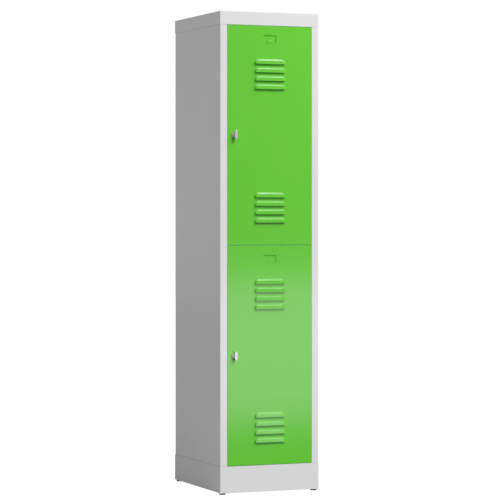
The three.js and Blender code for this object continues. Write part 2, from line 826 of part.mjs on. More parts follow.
/** Outline of the grip: a round middle drawn out to smaller round ends, above and below. */
function gripOutline() {
  const far = gripHeight / 2 - gripEndRadius;
  const lean = Math.asin((gripMidRadius - gripEndRadius) / far);
  const half = smallRoundSteps / 2;
  const top = arc([0, far], gripEndRadius, lean, Math.PI - lean, half);
  const left = arc([0, 0], gripMidRadius, Math.PI - lean, Math.PI + lean, bendSteps);
  const bottom = arc([0, -far], gripEndRadius, Math.PI + lean, 2 * Math.PI - lean, half);
  const right = arc([0, 0], gripMidRadius, -lean, lean, bendSteps);
  return outline([...top, ...left, ...bottom, ...right]);
}

/** The turn grip with the spindle that runs back through the housing to the cam. */
function latchGrip(name) {
  const back = -collarDepth - 2 * seamGap;
  const wing = prismY(gripOutline(), -gripReach, back, gripBevel);
  const shoulder = camFace - seamGap;
  const spindle = turned([[0, back - gripBevel], [spindleRadius, back - gripBevel],
    [spindleRadius, shoulder], [0, shoulder]]);
  const half = camSquare / 2;
  const square = block([-half, half], [shoulder - gripBevel, camFace + camSheet], [-half, half]);
  const plugBore = turned([[0, -gripReach - overrun], [plugRadius + seamGap, -gripReach - overrun],
    [plugRadius + seamGap, plugLength + seamGap - gripReach], [0, plugLength + seamGap - gripReach]]);
  const screwEnd = camFace + camSheet - camScrewLength;
  const screwBore = turned([[0, screwEnd], [camScrewRadius + seamGap, screwEnd],
    [camScrewRadius + seamGap, camFace + overrun], [0, camFace + overrun]], smallRoundSteps);
  return piece(name, wing.add(spindle).add(square).subtract(plugBore).subtract(screwBore), brightZinc());
}

/** The key plug in the grip, with its key slot. */
function keyPlug(name) {
  const front = -gripReach;
  const plug = turned([[0, front], [plugRadius, front], [plugRadius, front + plugLength],
    [0, front + plugLength]], smallRoundSteps);
  const [w, h] = [keySlotWidth / 2, keySlotHeight / 2];
  const slot = block([-w, w], [front - overrun, front + keySlotDepth], [-h, h]);
  return piece(name, plug.subtract(slot), brightZinc());
}

/** The cam on the spindle's square. It hangs down when the latch is open. */
function latchCam(name) {
  const lean = Math.asin((camHalf - camTipHalf) / (camLength - camTipHalf));
  const head = arc([0, 0], camHalf, -lean, Math.PI + lean, smallRoundSteps / 2);
  const [from, to] = [Math.PI + lean, 2 * Math.PI - lean];
  const tip = arc([0, camTipHalf - camLength], camTipHalf, from, to, smallRoundSteps / 2);
  const cam = prismY(outline([...head, ...tip]), camFace, camFace + camSheet);
  const half = camSquare / 2 + seamGap;
  const hole = block([-half, half], [camFace - overrun, camFace + overrun], [-half, half]);
  return piece(name, cam.subtract(hole), platedSteel());
}

/** The screw that holds the cam on the spindle. */
function camScrew(name) {
  const seat = camFace + camSheet + seamGap;
  const profile = [
    [0, seat - camScrewLength + seamGap],
    [camScrewRadius, seat - camScrewLength + seamGap],
    [camScrewRadius, seat],
    [camScrewHeadRadius, seat],
    [camScrewHeadRadius, seat + camScrewHead / 2],
    [camScrewHeadRadius - camScrewHead / 2, seat + camScrewHead],
    [0, seat + camScrewHead],
  ];
  return piece(name, turned(profile, smallRoundSteps), platedSteel());
}

/** Everything on one latch. */
function latch(name) {
  const group = new THREE.Group();
  group.add(latchHousing(`${name}_latch_housing`));
  group.add(latchNut(`${name}_latch_nut`));
  group.add(latchGrip(`${name}_turn_grip`));
  group.add(keyPlug(`${name}_key_plug`));
  group.add(latchCam(`${name}_cam`));
  group.add(camScrew(`${name}_cam_screw`));
  group.position.set(latchX, 0, doorHeight / 2);
  return group;
}

/** One locker: its door with the latch, its hinges, buffers and coat rail. */
function locker(name, base) {
  const group = new THREE.Group();
  const door = new THREE.Group();
  door.add(doorPan(`${name}_door`));
  door.add(doorStiffener(`${name}_door_stiffener`));
  door.add(latch(name));
  door.position.set(0, frontFace, base);
  group.add(door);
  for (const [place, end, way] of [["top", base + doorHeight, 1], ["bottom", base, -1]]) {
    group.add(hingeBracket(`${name}_${place}_hinge_bracket`, end, way));
    group.add(hingePin(`${name}_${place}_hinge_pin`, end, way));
    group.add(hingeBush(`${name}_${place}_hinge_bush`, end, way));
    group.add(buffer(`${name}_${place}_buffer`, end - way * bufferInset));
  }
  const rail = base + doorHeight - railDrop;
  group.add(coatRail(`${name}_coat_rail`, rail));
  group.add(railSocket(`${name}_left_rail_socket`, -1, rail));
  group.add(railSocket(`${name}_right_rail_socket`, 1, rail));
  group.add(coatHook(`${name}_coat_hook`, rail));
  return group;
}

/** The sheet-metal body and its feet. */
function carcass() {
  const group = new THREE.Group();
  group.add(sidePanel("left_side_panel", -1, stopFace));
  group.add(sidePanel("right_side_panel", 1, hingeStopFace));
  group.add(backPanel());
  group.add(topCap());
  group.add(basePlinth());
  group.add(middleShelf());
  group.add(floorPanel());
  group.add(doorRail("header_rail", capSeam, 1));
  group.add(doorRail("sill_rail", plinthTop, -1));
  const names = ["front_left_foot", "front_right_foot", "back_left_foot", "back_right_foot"];
  footPlaces().forEach((place, i) => group.add(foot(names[i], place)));
  return group;
}

const staffLocker = new THREE.Group();
staffLocker.add(carcass());
staffLocker.add(locker("upper", upperDoorBase));
staffLocker.add(locker("lower", lowerDoorBase));
staffLocker.position.y = (gripReach - frontFace - depth) / 2;

export default staffLocker;
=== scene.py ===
"""Visual model of a steel staff locker: a light grey cabinet with two flush green louvred doors.

Sizes are millimetres in the cabinet's own frame: X runs across the front from the middle, Y back from the cap's front
face, and Z up from the floor. make_piece turns the points into metres in the part's frame.
"""

import json
import logging
import math
from collections.abc import Sequence
from dataclasses import dataclass
from enum import Enum

import bmesh
import bpy
import numpy as np
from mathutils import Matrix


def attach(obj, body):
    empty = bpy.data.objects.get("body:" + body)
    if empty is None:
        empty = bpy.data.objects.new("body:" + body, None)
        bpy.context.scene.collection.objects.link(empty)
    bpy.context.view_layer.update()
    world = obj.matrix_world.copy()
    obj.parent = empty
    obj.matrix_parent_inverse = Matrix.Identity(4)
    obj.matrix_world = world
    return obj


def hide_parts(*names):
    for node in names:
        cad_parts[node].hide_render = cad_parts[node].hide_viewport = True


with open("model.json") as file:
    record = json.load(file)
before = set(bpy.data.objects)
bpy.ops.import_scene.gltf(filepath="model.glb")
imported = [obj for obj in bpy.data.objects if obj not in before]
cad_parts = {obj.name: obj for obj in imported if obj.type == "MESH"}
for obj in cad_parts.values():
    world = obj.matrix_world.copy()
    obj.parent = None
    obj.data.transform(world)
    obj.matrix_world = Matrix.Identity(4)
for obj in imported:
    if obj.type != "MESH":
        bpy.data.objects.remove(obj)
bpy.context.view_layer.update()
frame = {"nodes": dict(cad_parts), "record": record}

MM = 0.001
METRE = 1.0
FRAME_SHIFT = np.array([0.0, -236.05, 0.0])

# Metres: points nearer than the first are one point, and edges shorter than the second are taken out
MERGE_DISTANCE = 2e-6
SLIVER_LENGTH = 1e-7

# Sizes that more than one class needs
BODY_HALF_WIDTH = 200.0
BODY_DEPTH = 490.0
DOOR_FACE = 1.1
DOOR_HEIGHT = 821.0
LATCH_X = -142.0

# Digits after the point in the places of a door's grid
GRID_DIGITS = 3

# Keeps a division from nought
TINY = 1e-9

# The part of a noise's range that holds nearly all of it
NOISE_LOW, NOISE_HIGH = 0.3, 0.7

# Sockets of the mix nodes, whose names are given more than once, and the curve that moves all three colours
FIRST_COLOUR, SECOND_COLOUR, MIXED_COLOUR = 6, 7, 2
FIRST_SHADER, SECOND_SHADER = 1, 2
COMBINED_CURVE = 3
WHITE = (1, 1, 1, 1)

Colour = tuple[float, float, float]
Rings = Sequence[tuple[np.ndarray, float]]
log = logging.getLogger("locker")


class Axis(Enum):
    """The axis that a turned or lofted piece runs along."""

    Y = "y"
    Z = "z"


class Way(Enum):
    """Which end of an upright piece something is at."""

    TOP = 1
    BOTTOM = -1


class Hand(Enum):
    """Which side of the cabinet a piece is on, seen from the front."""

    LEFT = -1
    RIGHT = 1


class End(Enum):
    """Whether a piece is towards the front of the cabinet or the back."""

    FRONT = -1
    BACK = 1


# Grids of points


@dataclass
class Patch:
    """A grid of points and the faces between them, which face along the rows' step crossed with the columns' step.

    Attributes:
        points: rows x columns x 3 places.
        round_rows: the last row joins the first.
        round_columns: the last column joins the first.
        keep: which faces stay, or None for all of them.
    """

    points: np.ndarray
    round_rows: bool = False
    round_columns: bool = False
    keep: np.ndarray | None = None

    def faces(self) -> np.ndarray:
        """Numbers the corners of every kept face.

        Returns:
            n x 4 point numbers.
        """
        rows, columns = self.points.shape[:2]
        row = np.arange(rows if self.round_rows else rows - 1)
        column = np.arange(columns if self.round_columns else columns - 1)
        a, b = np.meshgrid(row, column, indexing="ij")
        c, d = (a + 1) % rows, (b + 1) % columns
        corners = np.stack([a * columns + b, c * columns + b, c * columns + d, a * columns + d], axis=-1)
        return (corners if self.keep is None else corners[self.keep]).reshape(-1, 4)


def rays(angle: np.ndarray) -> np.ndarray:
    """Unit pairs at some angles in radians: the cosine and the sine of each."""
    return np.column_stack([np.cos(angle), np.sin(angle)])


def circle(steps: int) -> np.ndarray:
    """Unit pairs evenly round a circle, from the first axis on."""
    return rays(np.linspace(0, 2 * math.pi, steps, endpoint=False))


def quarter(steps: int) -> np.ndarray:
    """Evenly stepped angles of a quarter turn, in radians."""
    return np.radians(np.linspace(0, 90, steps + 1))


def spread(half: float, step: float) -> np.ndarray:
    """Evenly stepped numbers from minus a half to plus that half."""
    count = round(half / step)
    return step * np.arange(-count, count + 1)


def to_sides(ray: np.ndarray, near: Sequence[float], far: Sequence[float]) -> np.ndarray:
    """How far rays run to a rectangle's sides: on each axis the side's distance over the ray's part, the smaller one.

    Args:
        ray: n unit pairs.
        near: distances to the sides at the axes' negative ends.
        far: distances to the sides at their positive ends.

    Returns:
        n x 1 distances.
    """
    return (np.where(ray > 0, far, near) / np.maximum(np.abs(ray), TINY)).min(axis=1, keepdims=True)


def arc(centre: tuple[float, float], radius: float, start: float, end: float, steps: int) -> np.ndarray:
    """Points of an arc: the centre plus the radius times the cosine and sine of an evenly stepped angle.

    Args:
        centre: middle of the arc.
        radius: its radius.
        start: first angle in degrees.
        end: last angle in degrees.
        steps: number of steps between them.

    Returns:
        steps + 1 pairs.
    """
    return np.array(centre) + radius * rays(np.radians(np.linspace(start, end, steps + 1)))


def placed(ring: np.ndarray, level: float, axis: Axis) -> np.ndarray:
    """Lifts a flat ring to a level along an axis.

    Args:
        ring: n pairs, X and Z for the Y axis, X and Y for the Z axis.
        level: place along the axis.
        axis: the axis it lies across.

    Returns:
        n places.
    """
    levels = np.full(len(ring), level)
    columns = [ring[:, 0], levels, ring[:, 1]] if axis is Axis.Y else [ring[:, 0], ring[:, 1], levels]
    return np.column_stack(columns)


def turned(profile: Sequence[tuple[float, float]], axis: Axis, centre: tuple[float, float] = (0, 0),
           steps: int = 64) -> Patch:
    """A profile of [radius, place] pairs turned round an axis: each pair becomes a circle of that radius.

    Args:
        profile: radius and place along the axis, in order.
        axis: the axis it turns round.
        centre: where the axis stands, across it.
        steps: points of each circle.

    Returns:
        The surface, closed where its ends lie on the axis.
    """
    rings = [placed(np.array(centre) + radius * circle(steps), place, axis) for radius, place in profile]
    return Patch(np.stack(rings), round_columns=True)


def rounded(path: Sequence[tuple[float, float]], radii: Sequence[float], steps: int = 6) -> np.ndarray:
    """Rounds the inner corners of a path. Each corner gives way to the arc that touches both of its legs.

    Args:
        path: corners of the path.
        radii: one radius for each inner corner.
        steps: steps of each arc.

    Returns:
        The pairs of the rounded path.
    """
    corners = np.array(path, float)
    points = [corners[:1]]
    for corner, before, after, radius in zip(corners[1:-1], corners[:-2], corners[2:], radii):
        come = (corner - before) / np.linalg.norm(corner - before)
        go = (after - corner) / np.linalg.norm(after - corner)
        side = 1 if come[0] * go[1] - come[1] * go[0] > 0 else -1
        turn = math.acos(float(np.clip(come @ go, -1, 1)))
        centre = corner - come * radius * math.tan(turn / 2) + side * radius * np.array([-come[1], come[0]])
        start = math.degrees(math.atan2(-side * come[0], side * come[1]))
        points.append(arc(tuple(centre), radius, start, start + side * math.degrees(turn), steps))
    return np.concatenate([*points, corners[-1:]])


def rectangle(half_x: float, half_y: float, radius: float, steps: int = 5) -> np.ndarray:
    """A rectangle with rounded corners, anticlockwise: a quarter arc at each corner.

    Args:
        half_x: half of its width.
        half_y: half of its depth.
        radius: radius of its corners.
        steps: steps of each arc.

    Returns:
        The outline's pairs.
    """
    a, b = half_x - radius, half_y - radius
    corners = [((a, -b), -90), ((a, b), 0), ((-a, b), 90), ((-a, -b), 180)]
    return np.concatenate([arc(centre, radius, start, start + 90, steps) for centre, start in corners])


def stadium(across: float, up: float, steps: int = 16) -> np.ndarray:
    """An upright slot outline, anticlockwise: two half circles as wide as it is, joined by straight sides.

    Args:
        across: its width.
        up: its height.
        steps: steps of each half circle.

    Returns:
        The outline's pairs.
    """
    radius = across / 2
    rise = up / 2 - radius
    return np.concatenate([arc((0, -rise), radius, 180, 360, steps), arc((0, rise), radius, 0, 180, steps)])


def carried(profile: np.ndarray, half_x: float, half_y: float, corner: float, centre_y: float) -> Patch:
    """A profile of [inset, level] pairs carried round a level rectangle, whose corners tighten with the inset.

    Args:
        profile: inset from the rectangle and height, in order.
        half_x: half of the rectangle's width.
        half_y: half of its depth.
        corner: radius of its corners.
        centre_y: where its middle lies.

    Returns:
        The surface.
    """
    rings = [placed(rectangle(half_x - i, half_y - i, max(corner - i, 0.0)) + [0, centre_y], level, Axis.Z)
             for i, level in profile]
    return Patch(np.stack(rings), round_columns=True)


# Meshes


def bare_mesh(name: str, patches: Sequence[Patch], closed: bool) -> bpy.types.Mesh:
    """Joins patches into one mesh in metres, and merges the points that they share.

    Args:
        name: name of the mesh.
        patches: the surfaces.
        closed: whether they make closed solids, whose faces are then turned outwards.

    Returns:
        The mesh.
    """
    points, faces, count = [], [], 0
    for patch in patches:
        flat = patch.points.reshape(-1, 3)
        points.append(flat)
        faces.append(patch.faces() + count)
        count += len(flat)
    places = (np.concatenate(points) + FRAME_SHIFT) * MM
    mesh = bpy.data.meshes.new(name)
    mesh.from_pydata(places.tolist(), [], np.concatenate(faces).tolist())
    work = bmesh.new()
    work.from_mesh(mesh)
    bmesh.ops.remove_doubles(work, verts=work.verts, dist=MERGE_DISTANCE)
    bmesh.ops.dissolve_degenerate(work, edges=work.edges, dist=SLIVER_LENGTH)
    loose = [vert for vert in work.verts if not vert.link_faces]
    bmesh.ops.delete(work, geom=loose, context="VERTS")
    if closed:
        bmesh.ops.recalc_face_normals(work, faces=work.faces)
    work.to_mesh(mesh)
    work.free()
    return mesh


@dataclass(frozen=True)
class Edge:
    """How a piece's wall and edges are finished.

    Attributes:
        gauge: sheet thickness behind the surface, or 0 for a solid.
        bevel: width of the rounding on sharp edges, or 0.
        crease: angle in degrees from which an edge is drawn sharp.
        bevel_steps: faces across the rounding.
        bevel_from: angle in degrees from which an edge is rounded.
    """

    gauge: float = 0.0
    bevel: float = 0.0
    crease: float = 32.0
    bevel_steps: int = 2
    bevel_from: float = 55.0


SOLID = Edge()


def work_in_modifiers(piece: bpy.types.Object) -> None:
    """Replaces an object's mesh by the one that its modifiers make, and takes them off.

    Args:
        piece: the object.
    """
    done = bpy.data.meshes.new_from_object(piece.evaluated_get(bpy.context.evaluated_depsgraph_get()))
    piece.modifiers.clear()
    piece.data = done


def make_piece(name: str, patches: Sequence[Patch], finish: "Finish", body: str, stands_for: Sequence[str] = (),
               edge: Edge = SOLID) -> bpy.types.Object:
    """Makes an object of some patches, gives a sheet its gauge and edges, shades it, and hands it to the frame.

    The large faces set the shading of the small ones beside them, so that flat sheet looks flat up to its bends.

    Args:
        name: name of the piece.
        patches: its surfaces.
        finish: what it is painted or plated with.
        body: the CAD body that it rides on.
        stands_for: the CAD nodes that it replaces.
        edge: gauge and edge rounding.

    Returns:
        The finished object, whose modifiers have been worked into its mesh.
    """
    piece = bpy.data.objects.new(name, bare_mesh(name, patches, edge.gauge == 0))
    bpy.context.scene.collection.objects.link(piece)
    if edge.gauge:
        wall = piece.modifiers.new("gauge", "SOLIDIFY")
        wall.thickness = edge.gauge * MM
        wall.offset = -1
        wall.use_even_offset = True
    if edge.bevel:
        soft = piece.modifiers.new("edges", "BEVEL")
        soft.width = edge.bevel * MM
        soft.segments = edge.bevel_steps
        soft.limit_method = "ANGLE"
        soft.angle_limit = math.radians(edge.bevel_from)
    work_in_modifiers(piece)
    piece.data.shade_smooth()
    piece.data.set_sharp_from_angle(angle=math.radians(edge.crease))
    even = piece.modifiers.new("even_shading", "WEIGHTED_NORMAL")
    even.keep_sharp = True
    work_in_modifiers(piece)
    piece.data.materials.clear()
    piece.data.materials.append(finish.material())
    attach(piece, body)
    if stands_for:
        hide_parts(*stands_for)
    log.info("%s: %d faces on %s", name, len(piece.data.polygons), body)
    return piece


# Finishes


@dataclass
class NodeSheet:
    """A node tree and the ways to add to it.

    Attributes:
        owner: the material or world that the nodes belong to.
    """

    owner: bpy.types.Material | bpy.types.World

    def add(self, kind: str, inputs: dict[str | int, object] | None = None, **fields: object) -> bpy.types.Node:
        """Adds a node.

        Args:
            kind: Blender's name for the node.
            inputs: socket names or numbers with a value, or with an output socket to link.
            fields: the node's own fields.

        Returns:
            The node.
        """
        node = self.owner.node_tree.nodes.new(kind)
        for key, value in fields.items():
            setattr(node, key, value)
        for key, value in (inputs or {}).items():
            if isinstance(value, bpy.types.NodeSocket):
                self.owner.node_tree.links.new(value, node.inputs[key])
            else:
                node.inputs[key].default_value = value
        return node

    def noise(self, scale: float, detail: float = 2.0, stretch: tuple[float, float, float] | None = None,
              ) -> bpy.types.NodeSocket:
        """Cloudy noise.

        Args:
            scale: its lumps to the metre.
            detail: how many finer layers lie over them.
            stretch: share of the scale along X, Y and Z, or None for even lumps.

        Returns:
            The noise.
        """
        place = self.add("ShaderNodeTexCoord").outputs["Object"]
        if stretch:
            place = self.add("ShaderNodeMapping", {"Vector": place, "Scale": stretch}).outputs["Vector"]
        made = self.add("ShaderNodeTexNoise", {"Vector": place, "Scale": scale, "Detail": detail})
        return made.outputs["Fac"]

    def ranged(self, value: bpy.types.NodeSocket, span: tuple[float, float], low: float, high: float,
               ) -> bpy.types.NodeSocket:
        """Maps a span of numbers on to another.

        Args:
            value: the number.
            span: where it starts and ends.
            low: what its start becomes.
            high: what its end becomes.

        Returns:
            The number, held between low and high.
        """
        ends = {"From Min": span[0], "From Max": span[1], "To Min": low, "To Max": high}
        return self.add("ShaderNodeMapRange", {"Value": value, **ends}).outputs["Result"]

    def between(self, value: bpy.types.NodeSocket, low: float, high: float) -> bpy.types.NodeSocket:
        """Maps the middle of a noise on to a range of numbers."""
        return self.ranged(value, (NOISE_LOW, NOISE_HIGH), low, high)

    def mixed(self, share: object, first: object, second: object, blend: str = "MIX") -> bpy.types.NodeSocket:
        """Mixes two colours.

        Args:
            share: how much of the second.
            first: a colour with its alpha, or a socket.
            second: the same, or a number's socket.
            blend: Blender's name for the way of mixing.

        Returns:
            The colour.
        """
        made = self.add("ShaderNodeMix", {"Factor": share, FIRST_COLOUR: first, SECOND_COLOUR: second},
                        data_type="RGBA", blend_type=blend)
        return made.outputs[MIXED_COLOUR]

    def drifting(self, value: bpy.types.NodeSocket, colour: Colour, share: float) -> bpy.types.NodeSocket:
        """A colour that a noise makes darker and lighter by a share."""
        ends = [(*tinted(colour, tint), 1) for tint in (-share, share)]
        return self.mixed(self.between(value, 0, 1), *ends)

    def reckoned(self, way: str, first: bpy.types.NodeSocket, second: bpy.types.NodeSocket | float = 0.0,
                 ) -> bpy.types.NodeSocket:
        """A number worked out of one or two others, in the way that Blender calls by this name."""
        return self.add("ShaderNodeMath", {0: first, 1: second}, operation=way).outputs[0]

    def relief(self, height: bpy.types.NodeSocket, strength: float, depth: float,
               under: bpy.types.NodeSocket | None = None) -> bpy.types.NodeSocket:
        """Bump.

        Args:
            height: how high each place is, from 0 to 1.
            strength: how strongly it shows.
            depth: depth in millimetres.
            under: the relief that it lies on, or None.

        Returns:
            The normal.
        """
        inputs = {"Height": height, "Strength": strength, "Distance": depth * MM}
        return self.add("ShaderNodeBump", inputs | ({"Normal": under} if under else {})).outputs["Normal"]


def tinted(colour: Colour, share: float) -> Colour:
    """A colour made lighter or darker by a share."""
    return tuple(min(1.0, part * (1 + share)) for part in colour)


@dataclass(frozen=True)
class Finish:
    """What a piece is painted, plated or moulded in.

    Attributes:
        name: name of its material.
        slot: the record's material slot.
        colour: base colour.
    """

    name: str
    slot: str
    colour: Colour

    def material(self) -> bpy.types.Material:
        """Makes the material the first time, and finds it after that.

        Returns:
            The material.
        """
        known = bpy.data.materials.get(self.name)
        if known:
            return known
        made = bpy.data.materials.new(self.name)
        made.use_nodes = True
        made.node_tree.nodes.clear()
        sheet = NodeSheet(made)
        shader = sheet.add("ShaderNodeBsdfPrincipled")
        sheet.add("ShaderNodeOutputMaterial", {"Surface": shader.outputs["BSDF"]})
        self.dress(sheet, shader)
        return made

    def dress(self, sheet: NodeSheet, shader: bpy.types.Node) -> None:
        """Sets the shader's sockets. Each kind of finish has its own.

        Args:
            sheet: the material's nodes.
            shader: its shader.
        """
        raise NotImplementedError


def join(sheet: NodeSheet, shader: bpy.types.Node, **sockets: bpy.types.NodeSocket) -> None:
    """Links outputs to the shader's sockets, named with underscores for spaces."""
    for key, socket in sockets.items():
        sheet.owner.node_tree.links.new(socket, shader.inputs[key.replace("_", " ")])


@dataclass(frozen=True)
class PowderCoat(Finish):
    """Satin powder coat: an orange peel of lumps about a millimetre wide under a fine grain.

    Attributes:
        gloss: lowest and highest roughness.
        gloss_scale: lumps to the metre of the roughness.
        level: how strongly it reflects.
        peel: depth of the orange peel in millimetres.
        peel_scale: its lumps to the metre.
        peel_strength: how strongly it shows.
        grain: depth of the grain in millimetres.
        grain_scale: its lumps to the metre.
        grain_strength: how strongly it shows.
        drift: share by which the colour varies over the panel.
        drift_scale: lumps to the metre of that drift.
    """

    gloss: tuple[float, float] = (0.2, 0.24)
    gloss_scale: float = 60.0
    level: float = 0.5
    peel: float = 0.006
    peel_scale: float = 850.0
    peel_strength: float = 0.5
    grain: float = 0.0018
    grain_scale: float = 3200.0
    grain_strength: float = 0.3
    drift: float = 0.012
    drift_scale: float = 4.0

    def dress(self, sheet: NodeSheet, shader: bpy.types.Node) -> None:
        """Grain that lies on the peel, and a colour and roughness that each drift by a noise of their own.

        Args:
            sheet: the material's nodes.
            shader: its shader.
        """
        peel = sheet.relief(sheet.noise(self.peel_scale), self.peel_strength, self.peel)
        grain = sheet.relief(sheet.noise(self.grain_scale, detail=1.0), self.grain_strength, self.grain, peel)
        shader.inputs["Specular IOR Level"].default_value = self.level
        join(sheet, shader, Normal=grain,
             Base_Color=sheet.drifting(sheet.noise(self.drift_scale, detail=3.0), self.colour, self.drift),
             Roughness=sheet.between(sheet.noise(self.gloss_scale, detail=3.0), *self.gloss))


@dataclass(frozen=True)
class SeamShadeCoat(PowderCoat):
    """Powder coat with painted shade: a thin dark line, with a dimmer reflection, painted where another sheet's edge
    lies over it or where a gap runs, in place of the shadow that falls there.

    Attributes:
        seams: heights of the lines of painted shade in millimetres.
        seam_shade_width: width of a line of painted shade in millimetres.
        seam_shade: share of the colour and reflection that is left in the middle of a line.
    """

    seams: tuple[float, ...] = (1749.4, 105.6)
    seam_shade_width: float = 2.2
    seam_shade: float = 0.35

    def dress(self, sheet: NodeSheet, shader: bpy.types.Node) -> None:
        """The plain coat, its colour and reflection multiplied by a ramp over the distance to the nearest line, which
        paints the shade there.

        Faces that look in, towards the part's middle, have a metre added to that distance, so they get no line.

        Args:
            sheet: the material's nodes.
            shader: its shader.
        """
        super().dress(sheet, shader)
        places = sheet.add("ShaderNodeTexCoord").outputs
        height = sheet.add("ShaderNodeSeparateXYZ", {"Vector": places["Object"]}).outputs["Z"]
        outward = sheet.add("ShaderNodeVectorMath", {0: places["Object"], 1: places["Normal"]},
                            operation="DOT_PRODUCT").outputs["Value"]
        nearest: bpy.types.NodeSocket | float = METRE
        for seam in self.seams:
            away = sheet.reckoned("ABSOLUTE", sheet.reckoned("SUBTRACT", height, seam * MM))
            nearest = sheet.reckoned("MINIMUM", away, nearest)
        nearest = sheet.reckoned("ADD", nearest, sheet.reckoned("LESS_THAN", outward))
        # Painted shade: the ramp darkens the colour and dims the reflection near each line
        shade = sheet.ranged(nearest, (0.0, self.seam_shade_width / 2 * MM), self.seam_shade, 1.0)
        coat = shader.inputs["Base Color"].links[0].from_socket
        join(sheet, shader, Base_Color=sheet.mixed(1.0, coat, shade, "MULTIPLY"),
             Specular_IOR_Level=sheet.reckoned("MULTIPLY", shade, self.level))


@dataclass(frozen=True)
class Plating(Finish):
    """Plated or bare metal: fine scratches drawn out along one axis over a cloudy tone.

    Attributes:
        gloss: lowest and highest roughness.
        brush: how the scratches' noise is stretched along X, Y and Z.
        cloud: share by which the tone varies.
        cloud_scale: lumps to the metre of the tone.
        scratch_scale: scratches to the metre.
        scratch_depth: their depth in millimetres.
        scratch_strength: how strongly they show.
    """

    gloss: tuple[float, float] = (0.2, 0.34)
    brush: tuple[float, float, float] = (1.0, 0.06, 1.0)
    cloud: float = 0.05
    cloud_scale: float = 180.0
    scratch_scale: float = 2600.0
    scratch_depth: float = 0.004
    scratch_strength: float = 0.25

    def dress(self, sheet: NodeSheet, shader: bpy.types.Node) -> None:
        """Metal with cloudy tone, brushed roughness and a faint scratch relief.

        Args:
            sheet: the material's nodes.
            shader: its shader.
        """
        scratches = sheet.noise(self.scratch_scale, 3.0, self.brush)
        tone = sheet.noise(self.cloud_scale, 3.0)
        shader.inputs["Metallic"].default_value = 1.0
        join(sheet, shader, Base_Color=sheet.drifting(tone, self.colour, self.cloud),
             Roughness=sheet.between(scratches, *self.gloss),
             Normal=sheet.relief(scratches, self.scratch_strength, self.scratch_depth))


@dataclass(frozen=True)
class Moulding(Finish):
    """Moulded plastic or rubber with a spark-eroded grain.

    Attributes:
        gloss: lowest and highest roughness.
        grain: depth of the grain in millimetres.
        level: how strongly it reflects.
        gloss_scale: lumps to the metre of the roughness.
        grain_scale: lumps to the metre of the grain.
        grain_strength: how strongly the grain shows.
        drift: share by which the colour varies.
        drift_scale: lumps to the metre of that drift.
    """

    gloss: tuple[float, float] = (0.45, 0.6)
    grain: float = 0.015
    level: float = 0.45
    gloss_scale: float = 400.0
    grain_scale: float = 1800.0
    grain_strength: float = 0.4
    drift: float = 0.04
    drift_scale: float = 90.0

    def dress(self, sheet: NodeSheet, shader: bpy.types.Node) -> None:
        """Even colour with a faint drift, under a fine even grain.

        Args:
            sheet: the material's nodes.
            shader: its shader.
        """
        shader.inputs["Specular IOR Level"].default_value = self.level
        join(sheet, shader, Base_Color=sheet.drifting(sheet.noise(self.drift_scale), self.colour, self.drift),
             Roughness=sheet.between(sheet.noise(self.gloss_scale), *self.gloss),
             Normal=sheet.relief(sheet.noise(self.grain_scale), self.grain_strength, self.grain))


GREY_PAINT = PowderCoat("light_grey_powder_coat", "body_paint", (0.74, 0.745, 0.75))
# The sides' coat has lines of painted shade under the cap's skirt and over the plinth
SIDE_PAINT = SeamShadeCoat("light_grey_powder_coat_with_seams", "body_paint", GREY_PAINT.colour)
GREEN_PAINT = PowderCoat("green_powder_coat", "door_paint", (0.08, 0.485, 0.0155))
# The door pans' coat has lines of painted shade along the doors' lower and upper edges and at the split between them
PAN_PAINT = SeamShadeCoat("green_powder_coat_with_edges", "door_paint", GREEN_PAINT.colour,
                       seams=(105.8, 927.6, 1749.4), seam_shade_width=5.0)
SATIN_NICKEL = Plating("satin_nickel", "latch_plating", (0.55, 0.52, 0.535), (0.4, 0.48))
DULL_ZINC = Plating("dull_zinc", "zinc_steel", (0.5, 0.49, 0.46), (0.34, 0.5), (1.0, 1.0, 1.0), 0.12)
DRAWN_TUBE = Plating("drawn_tube", "rail_steel", (0.56, 0.56, 0.57), (0.22, 0.36), (0.05, 1.0, 1.0), 0.04)
BLACK_PLASTIC = Moulding("black_foot_plastic", "foot_plastic", (0.012, 0.012, 0.013))
BLACK_RUBBER = Moulding("black_rubber", "buffer_rubber", (0.015, 0.015, 0.015), (0.6, 0.75), 0.02, 0.3)
PALE_NYLON = Moulding("pale_nylon", "pale_plastic", (0.76, 0.745, 0.69))

SLOT_FINISHES: dict[str, Finish] = {finish.slot: finish for finish in (
    GREY_PAINT, GREEN_PAINT, SATIN_NICKEL, DULL_ZINC, DRAWN_TUBE, BLACK_PLASTIC, BLACK_RUBBER, PALE_NYLON)}


def dress_carried_nodes() -> None:
    """Gives every CAD node the finish of the record's slot that it names."""
    for part in frame["record"]["subparts"]:
        node = frame["nodes"][part["node"]]
        node.data.materials.clear()
        node.data.materials.append(SLOT_FINISHES[part["material_slot"]].material())


# Cabinet


